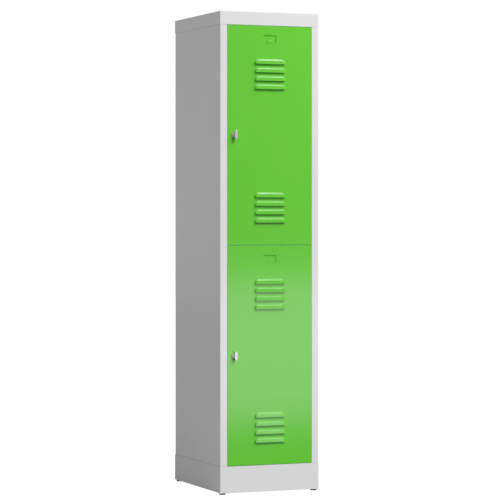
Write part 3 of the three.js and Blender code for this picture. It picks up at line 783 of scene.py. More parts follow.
@dataclass
class Cabinet:
    """The sheet-metal body that shows from outside: cap, plinth and the two sides with their stiles.

    Attributes:
        half_width: half of the cap's width.
        depth: the cap's depth.
        height: the cap's top.
        cap_skirt: height of its skirts.
        top_rim: inset of the outermost ring on its flat top.
        plinth_top: upper edge of the plinth.
        plinth_foot: its lowest face.
        plinth_lip: width of the lip turned in there.
        opening_half: half of the opening between the stiles.
        stop_half: half of the opening between the stops behind them.
        face: how far the stiles lie behind the cap's front.
        flange: width of a side's back flange.
        flange_gap: gap between that flange and the back sheet.
        latch_stop: how far back the left stop lies.
        hinge_stop: how far back the right stop lies.
        sheet_low: lower edge of the sides.
        sheet_high: upper edge of the sides.
        bend: outer radius of a bend.
        gauge: thickness of the sheet.
        cut_edge: rounding of its cut edges.
        bend_steps: steps of the mesh round a bend.
        top_rings: rings of the mesh on the cap's top.
        side_rows: rows of the mesh up a side.
    """

    half_width: float = BODY_HALF_WIDTH
    depth: float = BODY_DEPTH
    height: float = 1800.0
    cap_skirt: float = 50.0
    top_rim: float = 30.0
    plinth_top: float = 105.0
    plinth_foot: float = 6.0
    plinth_lip: float = 35.0
    opening_half: float = 171.0
    stop_half: float = 161.0
    face: float = DOOR_FACE
    flange: float = 15.0
    flange_gap: float = 0.3
    latch_stop: float = 22.1
    hinge_stop: float = 24.16
    sheet_low: float = 15.0
    sheet_high: float = 1790.0
    bend: float = 2.0
    gauge: float = 0.8
    cut_edge: float = 0.16
    bend_steps: int = 7
    top_rings: int = 8
    side_rows: int = 12

    def cap(self) -> Patch:
        """The cap: a profile from the middle of its top over the bend and down the skirt, carried round it.

        Returns:
            The surface.
        """
        over = arc((self.bend, self.height - self.bend), self.bend, 90, 180, self.bend_steps)
        middle = np.linspace(min(self.half_width, self.depth / 2), self.top_rim, self.top_rings)
        top = np.column_stack([middle, np.full(self.top_rings, self.height)])
        profile = np.concatenate([top, over, [[0.0, self.height - self.cap_skirt]]])
        return carried(profile, self.half_width, self.depth / 2, self.bend, self.depth / 2)

    def plinth(self) -> Patch:
        """The plinth: a profile down its face, round the bend and in along the lip, carried round it.

        Returns:
            The surface.
        """
        under = arc((self.bend, self.plinth_foot + self.bend), self.bend, 180, 270, self.bend_steps)
        profile = np.concatenate([[[0.0, self.plinth_top]], under, [[self.plinth_lip, self.plinth_foot]]])
        return carried(profile, self.half_width, self.depth / 2, self.bend, self.depth / 2)

    def side(self, hand: Hand, stop: float) -> Patch:
        """A side's outer face from its stop round the stile to its back flange, drawn up to its height.

        Args:
            hand: which of the two.
            stop: how far back the stop lies.

        Returns:
            The folded surface.
        """
        edge = self.half_width - self.face
        back = self.depth - self.face - self.gauge - self.flange_gap
        path = [(-self.stop_half, stop), (-self.opening_half, stop), (-self.opening_half, self.face),
                (-edge, self.face), (-edge, back), (self.flange - edge, back)]
        outline = rounded(path, [self.bend - self.gauge, self.bend, self.bend, self.bend])
        outline[:, 0] *= -hand.value
        levels = np.linspace(self.sheet_low, self.sheet_high, self.side_rows)
        points = np.stack([placed(outline, level, Axis.Z) for level in levels])
        return Patch(points if hand is Hand.LEFT else points[::-1])

    def build(self) -> None:
        """Makes the four outer sheets."""
        sheets = [("cap", self.cap(), GREY_PAINT, "top_cap"), ("plinth", self.plinth(), GREY_PAINT, "base_plinth"),
                  ("left_side", self.side(Hand.LEFT, self.latch_stop), SIDE_PAINT, "left_side_panel"),
                  ("right_side", self.side(Hand.RIGHT, self.hinge_stop), SIDE_PAINT, "right_side_panel")]
        for name, patch, finish, node in sheets:
            make_piece(name, [patch], finish, "carcass", [node], Edge(self.gauge, self.cut_edge))


@dataclass
class Feet:
    """The moulded feet: a pad with a soft rim and the stem that is pressed into the plinth's lip.

    Attributes:
        inset: distance of a foot's axis from the cabinet's edges.
        radius: radius of the pad.
        height: height of the pad.
        rim: radius of its lower rim and of the stem's tip, twice that of its upper rim.
        stem_radius: radius of the stem.
        stem_height: how far the stem stands over the pad.
        half_width: half of the cabinet's width.
        depth: the cabinet's depth.
    """

    inset: float = 15.5
    radius: float = 13.0
    height: float = 5.7
    rim: float = 1.2
    stem_radius: float = 4.0
    stem_height: float = 11.0
    half_width: float = BODY_HALF_WIDTH
    depth: float = BODY_DEPTH

    def profile(self) -> list[tuple[float, float]]:
        """Draws half of a foot: from the middle of the sole over two rounded rims to the top of the stem.

        Returns:
            Radius and height, in order.
        """
        sole = arc((self.radius - self.rim, self.rim), self.rim, -90, 0, steps=5)
        shoulder = arc((self.radius - self.rim / 2, self.height - self.rim / 2), self.rim / 2, 0, 90, steps=4)
        top = self.height + self.stem_height
        tip = arc((self.stem_radius - self.rim, top - self.rim), self.rim, 0, 90, steps=4)
        return [(0, 0), *map(tuple, sole), *map(tuple, shoulder), (self.stem_radius, self.height), *map(tuple, tip),
                (0, top)]

    def build(self) -> None:
        """Makes the four feet."""
        for end in End:
            y = self.depth / 2 + end.value * (self.depth / 2 - self.inset)
            for hand in Hand:
                place = f"{end.name}_{hand.name}".lower()
                foot = turned(self.profile(), Axis.Z, (hand.value * (self.half_width - self.inset), y))
                make_piece(f"{place}_pad", [foot], BLACK_PLASTIC, "carcass", [f"{place}_foot"])


# Doors


@dataclass
class LouvredDoor:
    """A flush door folded from one sheet, with pressed louvres, a pressed card pocket and cut hinge corners.

    The skin is a grid over X and Z. Its depth is the sum of the pressings, and each louvre's lip is a row of the grid
    that lies there twice, once on the skin and once on the lip, with no face between the two.

    Attributes:
        name: which of the doors.
        base: height of its lower edge.
        half_width: half of its width.
        height: its height.
        face: how far its face lies behind the cap's front.
        gauge: thickness of its sheet.
        bend: outer radius of a bend.
        depth: depth over its returns.
        lip: width of the lips turned in behind.
        crease: angle in degrees from which an edge is drawn sharp.
        louvre_half: half of a louvre's width.
        louvre_height: height of a louvre.
        louvre_reach: how far its lip stands out.
        louvre_end_ramp: length of the ramp at its ends.
        louvre_top_ramp: length of the ramp over its top.
        louvre_corner: radius of its upper corners, as a share of the ramps.
        louvre_root: share of the ramp over which the root is rounded.
        louvre_tilt: how much further its lip stands out than its top.
        louvre_pitch: distance from louvre to louvre.
        louvre_count: louvres in a set.
        louvre_inset: from the door's upper edge to the upper set.
        louvre_foot_inset: from the door's lower edge to the lower set's lowest lip.
        card_half: half of the card pocket's width.
        card_height: its height.
        card_depth: its depth.
        card_draft: width of its sloped wall.
        card_corner: radius of its corners.
        card_inset: from the door's upper edge to it.
        tab_radius: radius of the half-round tab at its foot.
        tab_drop: how far under the pocket the tab's middle lies.
        tab_ring_shares: circles of the tab, as shares of its radius.
        tab_levels: how far behind the door's face each of them lies.
        latch_x: where the latch stands.
        latch_hole: radius of its hole.
        notch_x: where the cut hinge corners start.
        notch_height: their height.
        hinge_x: where the hinge's axis stands.
        hinge_y: how far behind the face it stands.
        plate_gauge: thickness of a pivot plate.
        plate_bore: radius of its bore.
        past_corner: share of the ramp from its rounded corner to the grid's next line.
        corner_shares: grid lines inside the card pocket, as shares of its corner's radius.
        lip_lines: grid lines over a louvre's lip.
        under_lip: distance of the grid's line under a louvre's lip.
        card_columns: half of the width of the even columns about the middle, and their step.
        side_columns: the grid's other columns beside the louvres' ends.
        latch_grid: half of the width of the fine grid about the latch, and its step.
        row_margin: from the door's ends to the first even rows.
        row_step: distance of the even rows.
        root_lines: grid lines over a ramp's root.
        corner_lines: grid lines from there to the rounded corner.
        draft_lines: grid lines over the card pocket's draft.
        corner_fan: first and last angle of the normals at the skin's corners, and how many there are.
        bend_steps: steps of the mesh round a bend.
        tab_points: points of each half circle of the tab.
    """

    name: str
    base: float
    half_width: float = 170.0
    height: float = DOOR_HEIGHT
    face: float = DOOR_FACE
    gauge: float = 1.0
    bend: float = 1.1
    depth: float = 18.0
    lip: float = 12.0
    crease: float = 28.0
    louvre_half: float = 62.0
    louvre_height: float = 17.4
    louvre_reach: float = 8.0
    louvre_end_ramp: float = 5.5
    louvre_top_ramp: float = 4.8
    louvre_corner: float = 3.0
    louvre_root: float = 0.15
    louvre_tilt: float = 1.2
    louvre_pitch: float = 31.3
    louvre_count: int = 4
    louvre_inset: float = 126.1
    louvre_foot_inset: float = 84.8
    card_half: float = 26.0
    card_height: float = 29.0
    card_depth: float = 3.0
    card_draft: float = 0.6
    card_corner: float = 1.5
    card_inset: float = 36.0
    tab_radius: float = 10.5
    tab_drop: float = 0.3
    tab_ring_shares: tuple[float, ...] = (0.0, 0.5, 0.88, 0.94, 0.98, 1.0)
    tab_levels: tuple[float, ...] = (-0.03, -0.03, -0.03, 0.0, 0.12, 0.36)
    latch_x: float = LATCH_X
    latch_hole: float = 9.8
    notch_x: float = 144.0
    notch_height: float = 9.0
    hinge_x: float = 160.0
    hinge_y: float = 4.8
    plate_gauge: float = 1.5
    plate_bore: float = 3.3
    past_corner: float = 0.3
    corner_shares: tuple[float, ...] = (0.6, 0.8, 1.0, 1.5, 2.0)
    lip_lines: tuple[float, ...] = (0.0, 0.6)
    under_lip: float = 1.5
    card_columns: tuple[float, float] = (44.0, 4.0)
    side_columns: tuple[float, ...] = (-100.0, -80.0, 80.0, 100.0, 125.0)
    latch_grid: tuple[float, float] = (13.0, 1.0)
    row_margin: float = 40.0
    row_step: float = 35.0
    root_lines: int = 5
    corner_lines: int = 16
    draft_lines: int = 4
    corner_fan: tuple[float, float, int] = (15.0, 75.0, 5)
    bend_steps: int = 6
    tab_points: int = 41

    def louvre_places(self) -> np.ndarray:
        """Heights of the louvres' lips over the door's lower edge: a pitch apart, down from above and up from below.

        Returns:
            The heights, lowest first.
        """
        steps = self.louvre_pitch * np.arange(self.louvre_count)
        upper = self.height - self.louvre_inset - self.louvre_height - steps
        return np.sort(np.concatenate([upper, self.louvre_foot_inset + steps]))

    def card_middle(self) -> float:
        """Height of the card pocket's middle over the door's lower edge."""
        return self.height - self.card_inset - self.card_height / 2

    def ramp_lines(self) -> np.ndarray:
        """Places the grid's lines on a louvre's ramp: evenly over its root, and evenly on to its rounded corner.

        Returns:
            Shares of the ramp, from just outside its outline to past its rounded corner.
        """
        root = self.louvre_root * np.linspace(-1, 1, self.root_lines)
        ramp = np.linspace(self.louvre_root, self.louvre_corner, self.corner_lines)
        return np.concatenate([root, ramp, [self.louvre_corner + self.past_corner]])

    def card_lines(self) -> np.ndarray:
        """Distances in from the card pocket's outline: evenly over its draft, then shares of its corner's radius."""
        draft = self.card_draft * np.linspace(0, 1, self.draft_lines)
        return np.concatenate([draft, self.card_corner * np.array(self.corner_shares)])

    def columns(self) -> np.ndarray:
        """The grid's places across the door, close together where something is pressed.

        Returns:
            The places, from the left.
        """
        rim = self.half_width - self.bend
        ends = self.louvre_half - self.louvre_end_ramp * self.ramp_lines()
        card = self.card_half - self.card_lines()
        latch = self.latch_x + spread(*self.latch_grid)
        lines = np.concatenate([[-rim, rim, self.notch_x], self.side_columns, spread(*self.card_columns), ends, -ends,
                                card, -card, latch])
        return np.unique(np.round(lines, GRID_DIGITS))

    def rows(self) -> tuple[np.ndarray, np.ndarray]:
        """The grid's heights, close together where something is pressed, with each louvre's lip in it twice.

        Returns:
            The heights, lowest first, and which of them lie on a louvre's lip in front of the skin.
        """
        low, high = self.bend, self.height - self.bend
        lips = self.louvre_places()
        rise = np.concatenate([self.lip_lines, self.louvre_height - self.louvre_top_ramp * self.ramp_lines()])
        over = (lips[:, None] + rise[None, :]).ravel()
        middle = self.card_middle()
        card = self.card_height / 2 - self.card_lines()
        latch = self.height / 2 + spread(*self.latch_grid)
        even = np.arange(self.row_margin, self.height - self.row_margin, self.row_step)
        ends = [low, high, self.notch_height, self.height - self.notch_height, middle]
        lines = np.concatenate([ends, over, lips - self.under_lip, middle + card, middle - card, latch, even])
        heights = np.unique(np.round(lines, GRID_DIGITS))
        places = np.round(np.concatenate([heights, lips]), GRID_DIGITS)
        raised = np.arange(len(places)) >= len(heights)
        order = np.lexsort((raised, places))
        return places[order], raised[order]

    def louvres(self, x: np.ndarray, z: np.ndarray, raised: np.ndarray) -> np.ndarray:
        """How far the louvres stand out.

        The share of the ramp passed is the smaller of the distances to the end and to the top, each over its own
        ramp, and near an upper corner it is taken from a circle in those shares. Near the root the share is eased in
        along a parabola. The ramp rises as twice the share less its square, to a face that leans out to the lip.

        Args:
            x: places across the door.
            z: heights over its lower edge.
            raised: whether a place on a lip's line lies on the lip.

        Returns:
            How far each place stands in front of the skin.
        """
        total = np.zeros(np.broadcast(x, z).shape)
        corner, root = self.louvre_corner, self.louvre_root
        for lip in np.round(self.louvre_places(), GRID_DIGITS):
            up = z - lip
            end = (self.louvre_half - np.abs(x)) / self.louvre_end_ramp
            top = (self.louvre_height - up) / self.louvre_top_ramp
            round_off = corner - np.hypot(corner - end, corner - top)
            share = np.where((end < corner) & (top < corner), round_off, np.minimum(end, top))
            share = np.where(share < root, np.maximum(share + root, 0) ** 2 / (4 * root), np.minimum(share, 1))
            reach = self.louvre_reach - self.louvre_tilt * up / self.louvre_height
            total += share * (2 - share) * reach * ((up > 0) | ((up == 0) & raised))
        return total

    def pocket(self, x: np.ndarray, z: np.ndarray) -> np.ndarray:
        """How deep the card pocket is: its depth times the distance inside a rounded rectangle over the draft.

        Args:
            x: places across the door.
            z: heights over its lower edge.

        Returns:
            How far each place lies behind the skin.
        """
        a = np.abs(x) - (self.card_half - self.card_corner)
        b = np.abs(z - self.card_middle()) - (self.card_height / 2 - self.card_corner)
        outside = np.hypot(np.maximum(a, 0), np.maximum(b, 0)) + np.minimum(np.maximum(a, b), 0)
        return self.card_depth * np.clip((self.card_corner - outside) / self.card_draft, 0, 1)

    def skin(self) -> Patch:
        """The pressed skin: its face and the pocket's depth less the louvres' reach, over the grid.

        Returns:
            The surface, open at the louvres' lips and where the latch goes through.
        """
        heights, raised = self.rows()
        x, z = np.meshgrid(self.columns(), heights, indexing="ij")
        lift = np.broadcast_to(raised[None, :], z.shape)
        y = self.face + self.pocket(x, z) - self.louvres(x, z, lift)
        points = np.stack([x, y, z + self.base], axis=-1)
        middle_x = (x[:-1, :-1] + x[1:, 1:]) / 2
        middle_z = (z[:-1, :-1] + z[1:, 1:]) / 2
        lips = np.broadcast_to((raised[1:] & ~raised[:-1])[None, :], middle_x.shape)
        hole = np.hypot(middle_x - self.latch_x, middle_z - self.height / 2) < self.latch_hole
        return Patch(points, keep=~(lips | hole))

    def border(self) -> Patch:
        """The returns and lip: a folded profile carried round the skin's edge, less the two hinge corners.

        A point outside the skin's edge is the edge plus the profile's reach along the outward normal, and a point
        inside it is the edge's point moved on to the smaller rectangle. At each corner a few normals fan out.

        Returns:
            The surface.
        """
        across, heights = self.columns(), np.unique(self.rows()[0])
        x0, x1, z0, z1 = across[0], across[-1], heights[0], heights[-1]
        sides = [(np.column_stack([across, np.full(len(across), z0)]), -90.0),
                 (np.column_stack([np.full(len(heights), x1), heights]), 0.0),
                 (np.column_stack([across[::-1], np.full(len(across), z1)]), 90.0),
                 (np.column_stack([np.full(len(heights), x0), heights[::-1]]), 180.0)]
        fan = np.linspace(*self.corner_fan)
        edge = np.concatenate([part for line, _ in sides for part in (line, np.repeat(line[-1:], len(fan), axis=0))])
        normal = rays(np.radians(np.concatenate([part for line, angle in sides
                                                 for part in (np.full(len(line), angle), angle + fan)])))
        fold = arc((0, self.bend), self.bend, -90, 0, self.bend_steps)
        back = arc((0, self.depth - self.bend), self.bend, 0, 90, self.bend_steps)
        profile = np.concatenate([fold, back, [[self.bend - self.lip, self.depth]]])
        rings = []
        for reach, level in profile:
            inset = max(-reach, 0)
            ring = np.clip(edge, [x0 + inset, z0 + inset], [x1 - inset, z1 - inset]) + max(reach, 0) * normal
            rings.append(placed(ring + [0, self.base], self.face + level, Axis.Y))
        middle = (edge + np.roll(edge, -1, axis=0)) / 2
        at_end = (middle[:, 1] < self.notch_height) | (middle[:, 1] > self.height - self.notch_height)
        notched = (middle[:, 0] > self.notch_x) & at_end
        behind = (profile[:-1, 1] + profile[1:, 1]) / 2 > self.bend
        return Patch(np.stack(rings), round_columns=True, keep=~(behind[:, None] & notched[None, :]))

    def card_tab(self) -> Patch:
        """The half-round tab at the pocket's foot: half circles about its middle, each at its own level.

        Returns:
            The surface.
        """
        middle = self.base + self.card_middle() - self.card_height / 2 - self.tab_drop
        half_turn = rays(np.radians(np.linspace(0, 180, self.tab_points)))[::-1]
        rings = [placed(half_turn * self.tab_radius * share + [0, middle], self.face + level, Axis.Y)
                 for share, level in zip(self.tab_ring_shares, self.tab_levels)]
        return Patch(np.stack(rings))

    def pivot_plate(self, way: Way) -> Patch:
        """The plate across a hinge corner: a rectangle drawn in to the bush's bore, on both of its faces.

        Args:
            way: which end of the door.

        Returns:
            The surface.
        """
        end = self.height if way is Way.TOP else 0.0
        near = self.base + end - way.value * self.notch_height
        far = near - way.value * self.plate_gauge
        low = np.array([self.notch_x, self.face + self.gauge / 2])
        high = np.array([self.half_width - self.gauge / 2, self.face + self.depth - self.gauge / 2])
        middle = np.array([self.hinge_x, self.face + self.hinge_y])
        ray = circle(steps=72)
        outer = middle + ray * to_sides(ray, middle - low, high - middle)
        inner = middle + ray * self.plate_bore
        rings = [placed(ring, level, Axis.Z) for ring, level in ((outer, near), (inner, near), (inner, far),
                                                                 (outer, far))]
        return Patch(np.stack(rings), round_rows=True, round_columns=True)

    def build(self) -> None:
        """Makes the door's pan and its two pivot plates."""
        body = f"{self.name}_door"
        make_piece(f"{self.name}_door_pan", [self.skin(), self.border(), self.card_tab()], PAN_PAINT, body, [body],
                   Edge(self.gauge, crease=self.crease))
        make_piece(f"{self.name}_pivot_plates", [self.pivot_plate(way) for way in Way], GREEN_PAINT, body, [body])


@dataclass
class TurnLatch:
    """A door's latch: the housing through the skin, the grip with its spindle, and the key plug.

    Levels along its axis start at the door's face and grow towards the back.

    Attributes:
        name: which of the doors it is on.
        height: height of its axis.
        x: where its axis stands across the door.
        face: how far the door's face lies behind the cap's front.
        collar_radius: radius of the collar.
        collar_front: level of its front.
        collar_back: level of its back.
        barrel_radius: radius of the barrel.
        barrel_flat: from the axis to the barrel's two flats.
        barrel_end: level of its end.
        barrel_chamfer: chamfer of its end.
        bore: radius of the bore that the spindle turns in.
        spindle: radius of the spindle.
        grip_height: height of the grip over its two ends.
        grip_end: radius of those ends.
        grip_middle: radius of its middle.
        grip_front: level of its front.
        grip_back: level of its back.
        grip_back_edge: rounding of its back.
        round_edge: rounding of its front, and of the collar's rim.
        chamfer: chamfer of the collar's back and mouth, and of the plug.
        mouth: chamfer of the grip's bore.
        shoulder: level where the spindle goes over to the cam's square.
        square: half of the square.
        square_end: level of its end.
        plug: radius of the key plug.
        plug_play: gap round the plug and behind it.
        plug_back: level of the plug's back.
        slot_half: half of the key slot's width.
        slot_rise: half of its height.
        slot_depth: its depth.
    """

    name: str
    height: float
    x: float = LATCH_X
    face: float = DOOR_FACE
    collar_radius: float = 11.0
    collar_front: float = -4.3
    collar_back: float = -0.3
    barrel_radius: float = 9.0
    barrel_flat: float = 8.0
    barrel_end: float = 19.0
    barrel_chamfer: float = 0.5
    bore: float = 5.0
    spindle: float = 4.7
    grip_height: float = 33.0
    grip_end: float = 3.8
    grip_middle: float = 6.2
    grip_front: float = -19.0
    grip_back: float = -4.6
    grip_back_edge: float = 0.6
    round_edge: float = 1.5
    chamfer: float = 0.3
    mouth: float = 0.4
    shoulder: float = 23.2
    square: float = 3.5
    square_end: float = 26.0
    plug: float = 3.8
    plug_play: float = 0.3
    plug_back: float = -7.0
    slot_half: float = 0.8
    slot_rise: float = 2.7
    slot_depth: float = 3.0

    def patch(self, rings: Rings, round_rows: bool = False) -> Patch:
        """A loft through flat rings at levels behind the door's face.

        Args:
            rings: outlines about the axis, each with its level.
            round_rows: whether the last ring joins the first.

        Returns:
            The surface.
        """
        centre = np.array([self.x, self.height])
        stack = [placed(ring + centre, self.face + level, Axis.Y) for ring, level in rings]
        return Patch(np.stack(stack), round_rows=round_rows, round_columns=True)

    def housing(self) -> Patch:
        """Collar and barrel: rings from the bore's mouth over the collar's rim, back along the flatted barrel, and
        home through the bore. The barrel's radius is the smaller of its own and the flat's over the sine.

        Returns:
            The surface.
        """
        ray = circle(steps=96)
        flat = to_sides(ray, (self.barrel_radius, self.barrel_flat), (self.barrel_radius, self.barrel_flat))
        flat = np.minimum(self.barrel_radius, flat)
        rim = arc((self.collar_radius - self.round_edge, self.collar_front + self.round_edge), self.round_edge,
                  -90, 0, steps=8)
        rings = [(self.bore, self.collar_front + self.chamfer), (self.bore + self.chamfer, self.collar_front), *rim,
                 (self.collar_radius, self.collar_back - self.chamfer),
                 (self.collar_radius - self.chamfer, self.collar_back), (flat, self.collar_back),
                 (flat, self.barrel_end - self.barrel_chamfer), (flat - self.barrel_chamfer, self.barrel_end),
                 (self.bore, self.barrel_end)]
        return self.patch([(radius * ray, level) for radius, level in rings], round_rows=True)

    def wing(self, inset: float) -> np.ndarray:
        """The grip's outline: arcs about its middle and about its two ends, joined by their tangents.

        Args:
            inset: how far inside the grip's edge it lies.

        Returns:
            The outline's pairs.
        """
        far = self.grip_height / 2 - self.grip_end
        lean = math.degrees(math.asin((self.grip_middle - self.grip_end) / far))
        end, middle = self.grip_end - inset, self.grip_middle - inset
        return np.concatenate([arc((0, 0), middle, -lean, lean, steps=8),
                               arc((0, far), end, lean, 180 - lean, steps=24),
                               arc((0, 0), middle, 180 - lean, 180 + lean, steps=8),
                               arc((0, -far), end, 180 + lean, 360 - lean, steps=24)])

    def grip(self) -> Patch:
        """Grip and spindle: from the plug's bore over the wing to the spindle and the cam's square.

        A rounded edge is the wing's outline, inset and set back by one less the sine or cosine of a quarter turn.

        Returns:
            The surface.
        """
        outline = self.wing(0)
        ray = rays(np.arctan2(outline[:, 1], outline[:, 0]))
        box = ray * to_sides(ray, (self.square, self.square), (self.square, self.square))
        edge, soft = self.round_edge, self.grip_back_edge
        front = [(self.wing(edge * (1 - math.sin(t))), self.grip_front + edge * (1 - math.cos(t)))
                 for t in quarter(steps=6)]
        back = [(self.wing(soft * (1 - math.cos(t))), self.grip_back - soft * (1 - math.sin(t)))
                for t in quarter(steps=6)]
        bore, floor = self.plug + self.plug_play, self.plug_back + self.plug_play
        rings = [(0 * ray, floor), (bore * ray, floor), (bore * ray, self.grip_front + self.mouth),
                 ((bore + self.mouth) * ray, self.grip_front), *front, *back, (self.spindle * ray, self.grip_back),
                 (self.spindle * ray, self.shoulder), (box, self.shoulder), (box, self.square_end),
                 (0 * ray, self.square_end)]
        return self.patch(rings)

    def key_plug(self) -> Patch:
        """The plug: a cylinder whose front is drawn in to the key slot, with the slot's walls and floor.

        Returns:
            The surface.
        """
        ray = circle(steps=64)
        slot = ray * to_sides(ray, (self.slot_half, self.slot_rise), (self.slot_half, self.slot_rise))
        front = self.grip_front
        rings = [(0 * ray, self.plug_back), (self.plug * ray, self.plug_back),
                 (self.plug * ray, front + self.chamfer), ((self.plug - self.chamfer) * ray, front), (slot, front),
                 (slot, front + self.slot_depth), (0 * ray, front + self.slot_depth)]
        return self.patch(rings)

    def build(self) -> None:
        """Makes the housing, the grip and the plug."""
        for part, patch, body, node in (("housing", self.housing(), "door", "latch_housing"),
                                        ("grip", self.grip(), "latch", "turn_grip"),
                                        ("plug", self.key_plug(), "key", "key_plug")):
            make_piece(f"{self.name}_lock_{part}", [patch], SATIN_NICKEL, f"{self.name}_{body}",
                       [f"{self.name}_{node}"])


@dataclass
class CoatRail:
    """A locker's oval coat rail with its two sockets and its sliding double hook.

    Attributes:
        name: which of the lockers it is in.
        height: height of its axis.
        y: how far back it runs.
        half: half of its length.
        across: width of its tube.
        up: height of its tube.
        wall: wall of its tube.
        gap: gap round the tube in its sockets.
        socket_x: where the sockets' backs lie.
        socket_base: thickness of a socket's base.
        socket_collar: how far its collar stands out.
        socket_wall: wall of the collar.
        socket_ear: how far the base reaches over and under the collar.
        socket_edge: rounding of a socket's edges.
        mouth_share: width of the collar's mouth, as a share of the collar's.
        screw_head: radius of a screw's head.
        screw_sink: how far the head reaches into the base.
        screw_rim: height of the head's rim.
        screw_dome: how far its dome stands over the rim.
        hook_half: half of the width of the hook's band.
        hook_wall: wall of the band.
        hook_gap: gap round the rail in the band.
        hook_edge: rounding of the band.
        wire: radius of a prong.
        tip: radius of the ball at its end.
        root: how far from the middle a prong starts.
        reach: how far it reaches out.
        drop: how far its curve is drawn down.
        root_share: share of the reach at which the curve is first drawn down.
        rise_share: share of the drop at which the prong ends.
        tube_rings: rings of the mesh along each face of the tube.
        curve_rings: rings along a prong's curve, with those inside the ball.
        sunk_rings: how many of them lie inside the ball and are left out.
        ball_rings: rings of the ball.
    """

    name: str
    height: float
    y: float = 245.0
    half: float = 194.5
    across: float = 15.0
    up: float = 30.0
    wall: float = 1.2
    gap: float = 0.3
    socket_x: float = 197.8
    socket_base: float = 3.0
    socket_collar: float = 9.0
    socket_wall: float = 3.0
    socket_ear: float = 9.0
    socket_edge: float = 0.4
    mouth_share: float = 0.99
    screw_head: float = 3.6
    screw_sink: float = 0.02
    screw_rim: float = 0.4
    screw_dome: float = 1.4
    hook_half: float = 6.0
    hook_wall: float = 2.6
    hook_gap: float = 0.4
    hook_edge: float = 0.7
    wire: float = 3.0
    tip: float = 4.6
    root: float = 0.6
    reach: float = 30.0
    drop: float = 34.0
    root_share: float = 0.2
    rise_share: float = 0.3
    tube_rings: int = 9
    curve_rings: int = 33
    sunk_rings: int = 3
    ball_rings: int = 14

    def along(self, rings: Rings, round_rows: bool = False) -> Patch:
        """A loft through upright rings at places across the cabinet.

        Args:
            rings: outlines about the rail's axis, each with its place.
            round_rows: whether the last ring joins the first.

        Returns:
            The surface.
        """
        stack = [np.column_stack([np.full(len(ring), x), ring[:, 0] + self.y, ring[:, 1] + self.height])
                 for ring, x in rings]
        return Patch(np.stack(stack), round_rows=round_rows, round_columns=True)

    def oval(self, larger: float, higher: float = 0.0) -> np.ndarray:
        """The tube's outline made larger by a distance all round, and higher by another at both ends."""
        return stadium(self.across + 2 * larger, self.up + 2 * larger + 2 * higher)

    def tube(self) -> Patch:
        """The rail: its oval outer face at even steps along it, and the inner face back again.

        Returns:
            The surface.
        """
        places = np.linspace(-self.half, self.half, self.tube_rings)
        rings = [(self.oval(0), x) for x in places] + [(self.oval(-self.wall), x) for x in places[::-1]]
        return self.along(rings, round_rows=True)

    def socket(self, hand: Hand) -> Patch:
        """A socket: its base's outline, its collar's, and the seat that the rail's end stands in.

        Args:
            hand: which end of the rail it is at.

        Returns:
            The surface.
        """
        seat, outer, edge = self.oval(self.gap), self.gap + self.socket_wall, self.socket_edge
        base, soft = self.oval(outer, self.socket_ear), self.oval(outer - edge, self.socket_ear)
        slim = self.oval(outer - edge)
        back, front = self.socket_x, self.socket_x - self.socket_base
        mouth = front - self.socket_collar
        rings = [(0 * base, back), (base, back), (base, front + edge), (soft, front), (slim, front),
                 (slim, mouth + edge), (slim * self.mouth_share, mouth), (seat, mouth), (seat, front),
                 (0 * base, front)]
        return self.along([(ring, hand.value * x) for ring, x in rings])

    def screw(self, hand: Hand, way: Way) -> Patch:
        """A pan-head screw on a socket's ear: circles that follow a quarter ellipse over a short rim.

        Args:
            hand: which end of the rail it is at.
            way: which of the socket's ears it is in.

        Returns:
            The surface.
        """
        place = way.value * (self.up / 2 + self.gap + self.socket_wall + self.socket_ear / 2)
        ray, front = circle(steps=32), self.socket_x - self.socket_base
        rings = [(0 * ray, front - self.screw_sink), (self.screw_head * ray, front - self.screw_sink)]
        rings += [(self.screw_head * math.cos(t) * ray, front - self.screw_rim - self.screw_dome * math.sin(t))
                  for t in quarter(steps=5)]
        return self.along([(ring + [0, place], hand.value * x) for ring, x in rings])

    def band(self) -> Patch:
        """The hook's band round the rail: ovals that follow a quarter turn at each rim, and back along the bore.

        Returns:
            The surface.
        """
        inside, soft = self.hook_gap, self.hook_edge
        flat = inside + self.hook_wall - soft
        rings = [(self.oval(flat + soft * math.sin(t)), soft - self.hook_half - soft * math.cos(t))
                 for t in quarter(steps=4)]
        rings += [(ring, -x) for ring, x in rings[::-1]]
        rings += [(self.oval(inside), self.hook_half), (self.oval(inside), -self.hook_half)]
        return self.along(rings, round_rows=True)

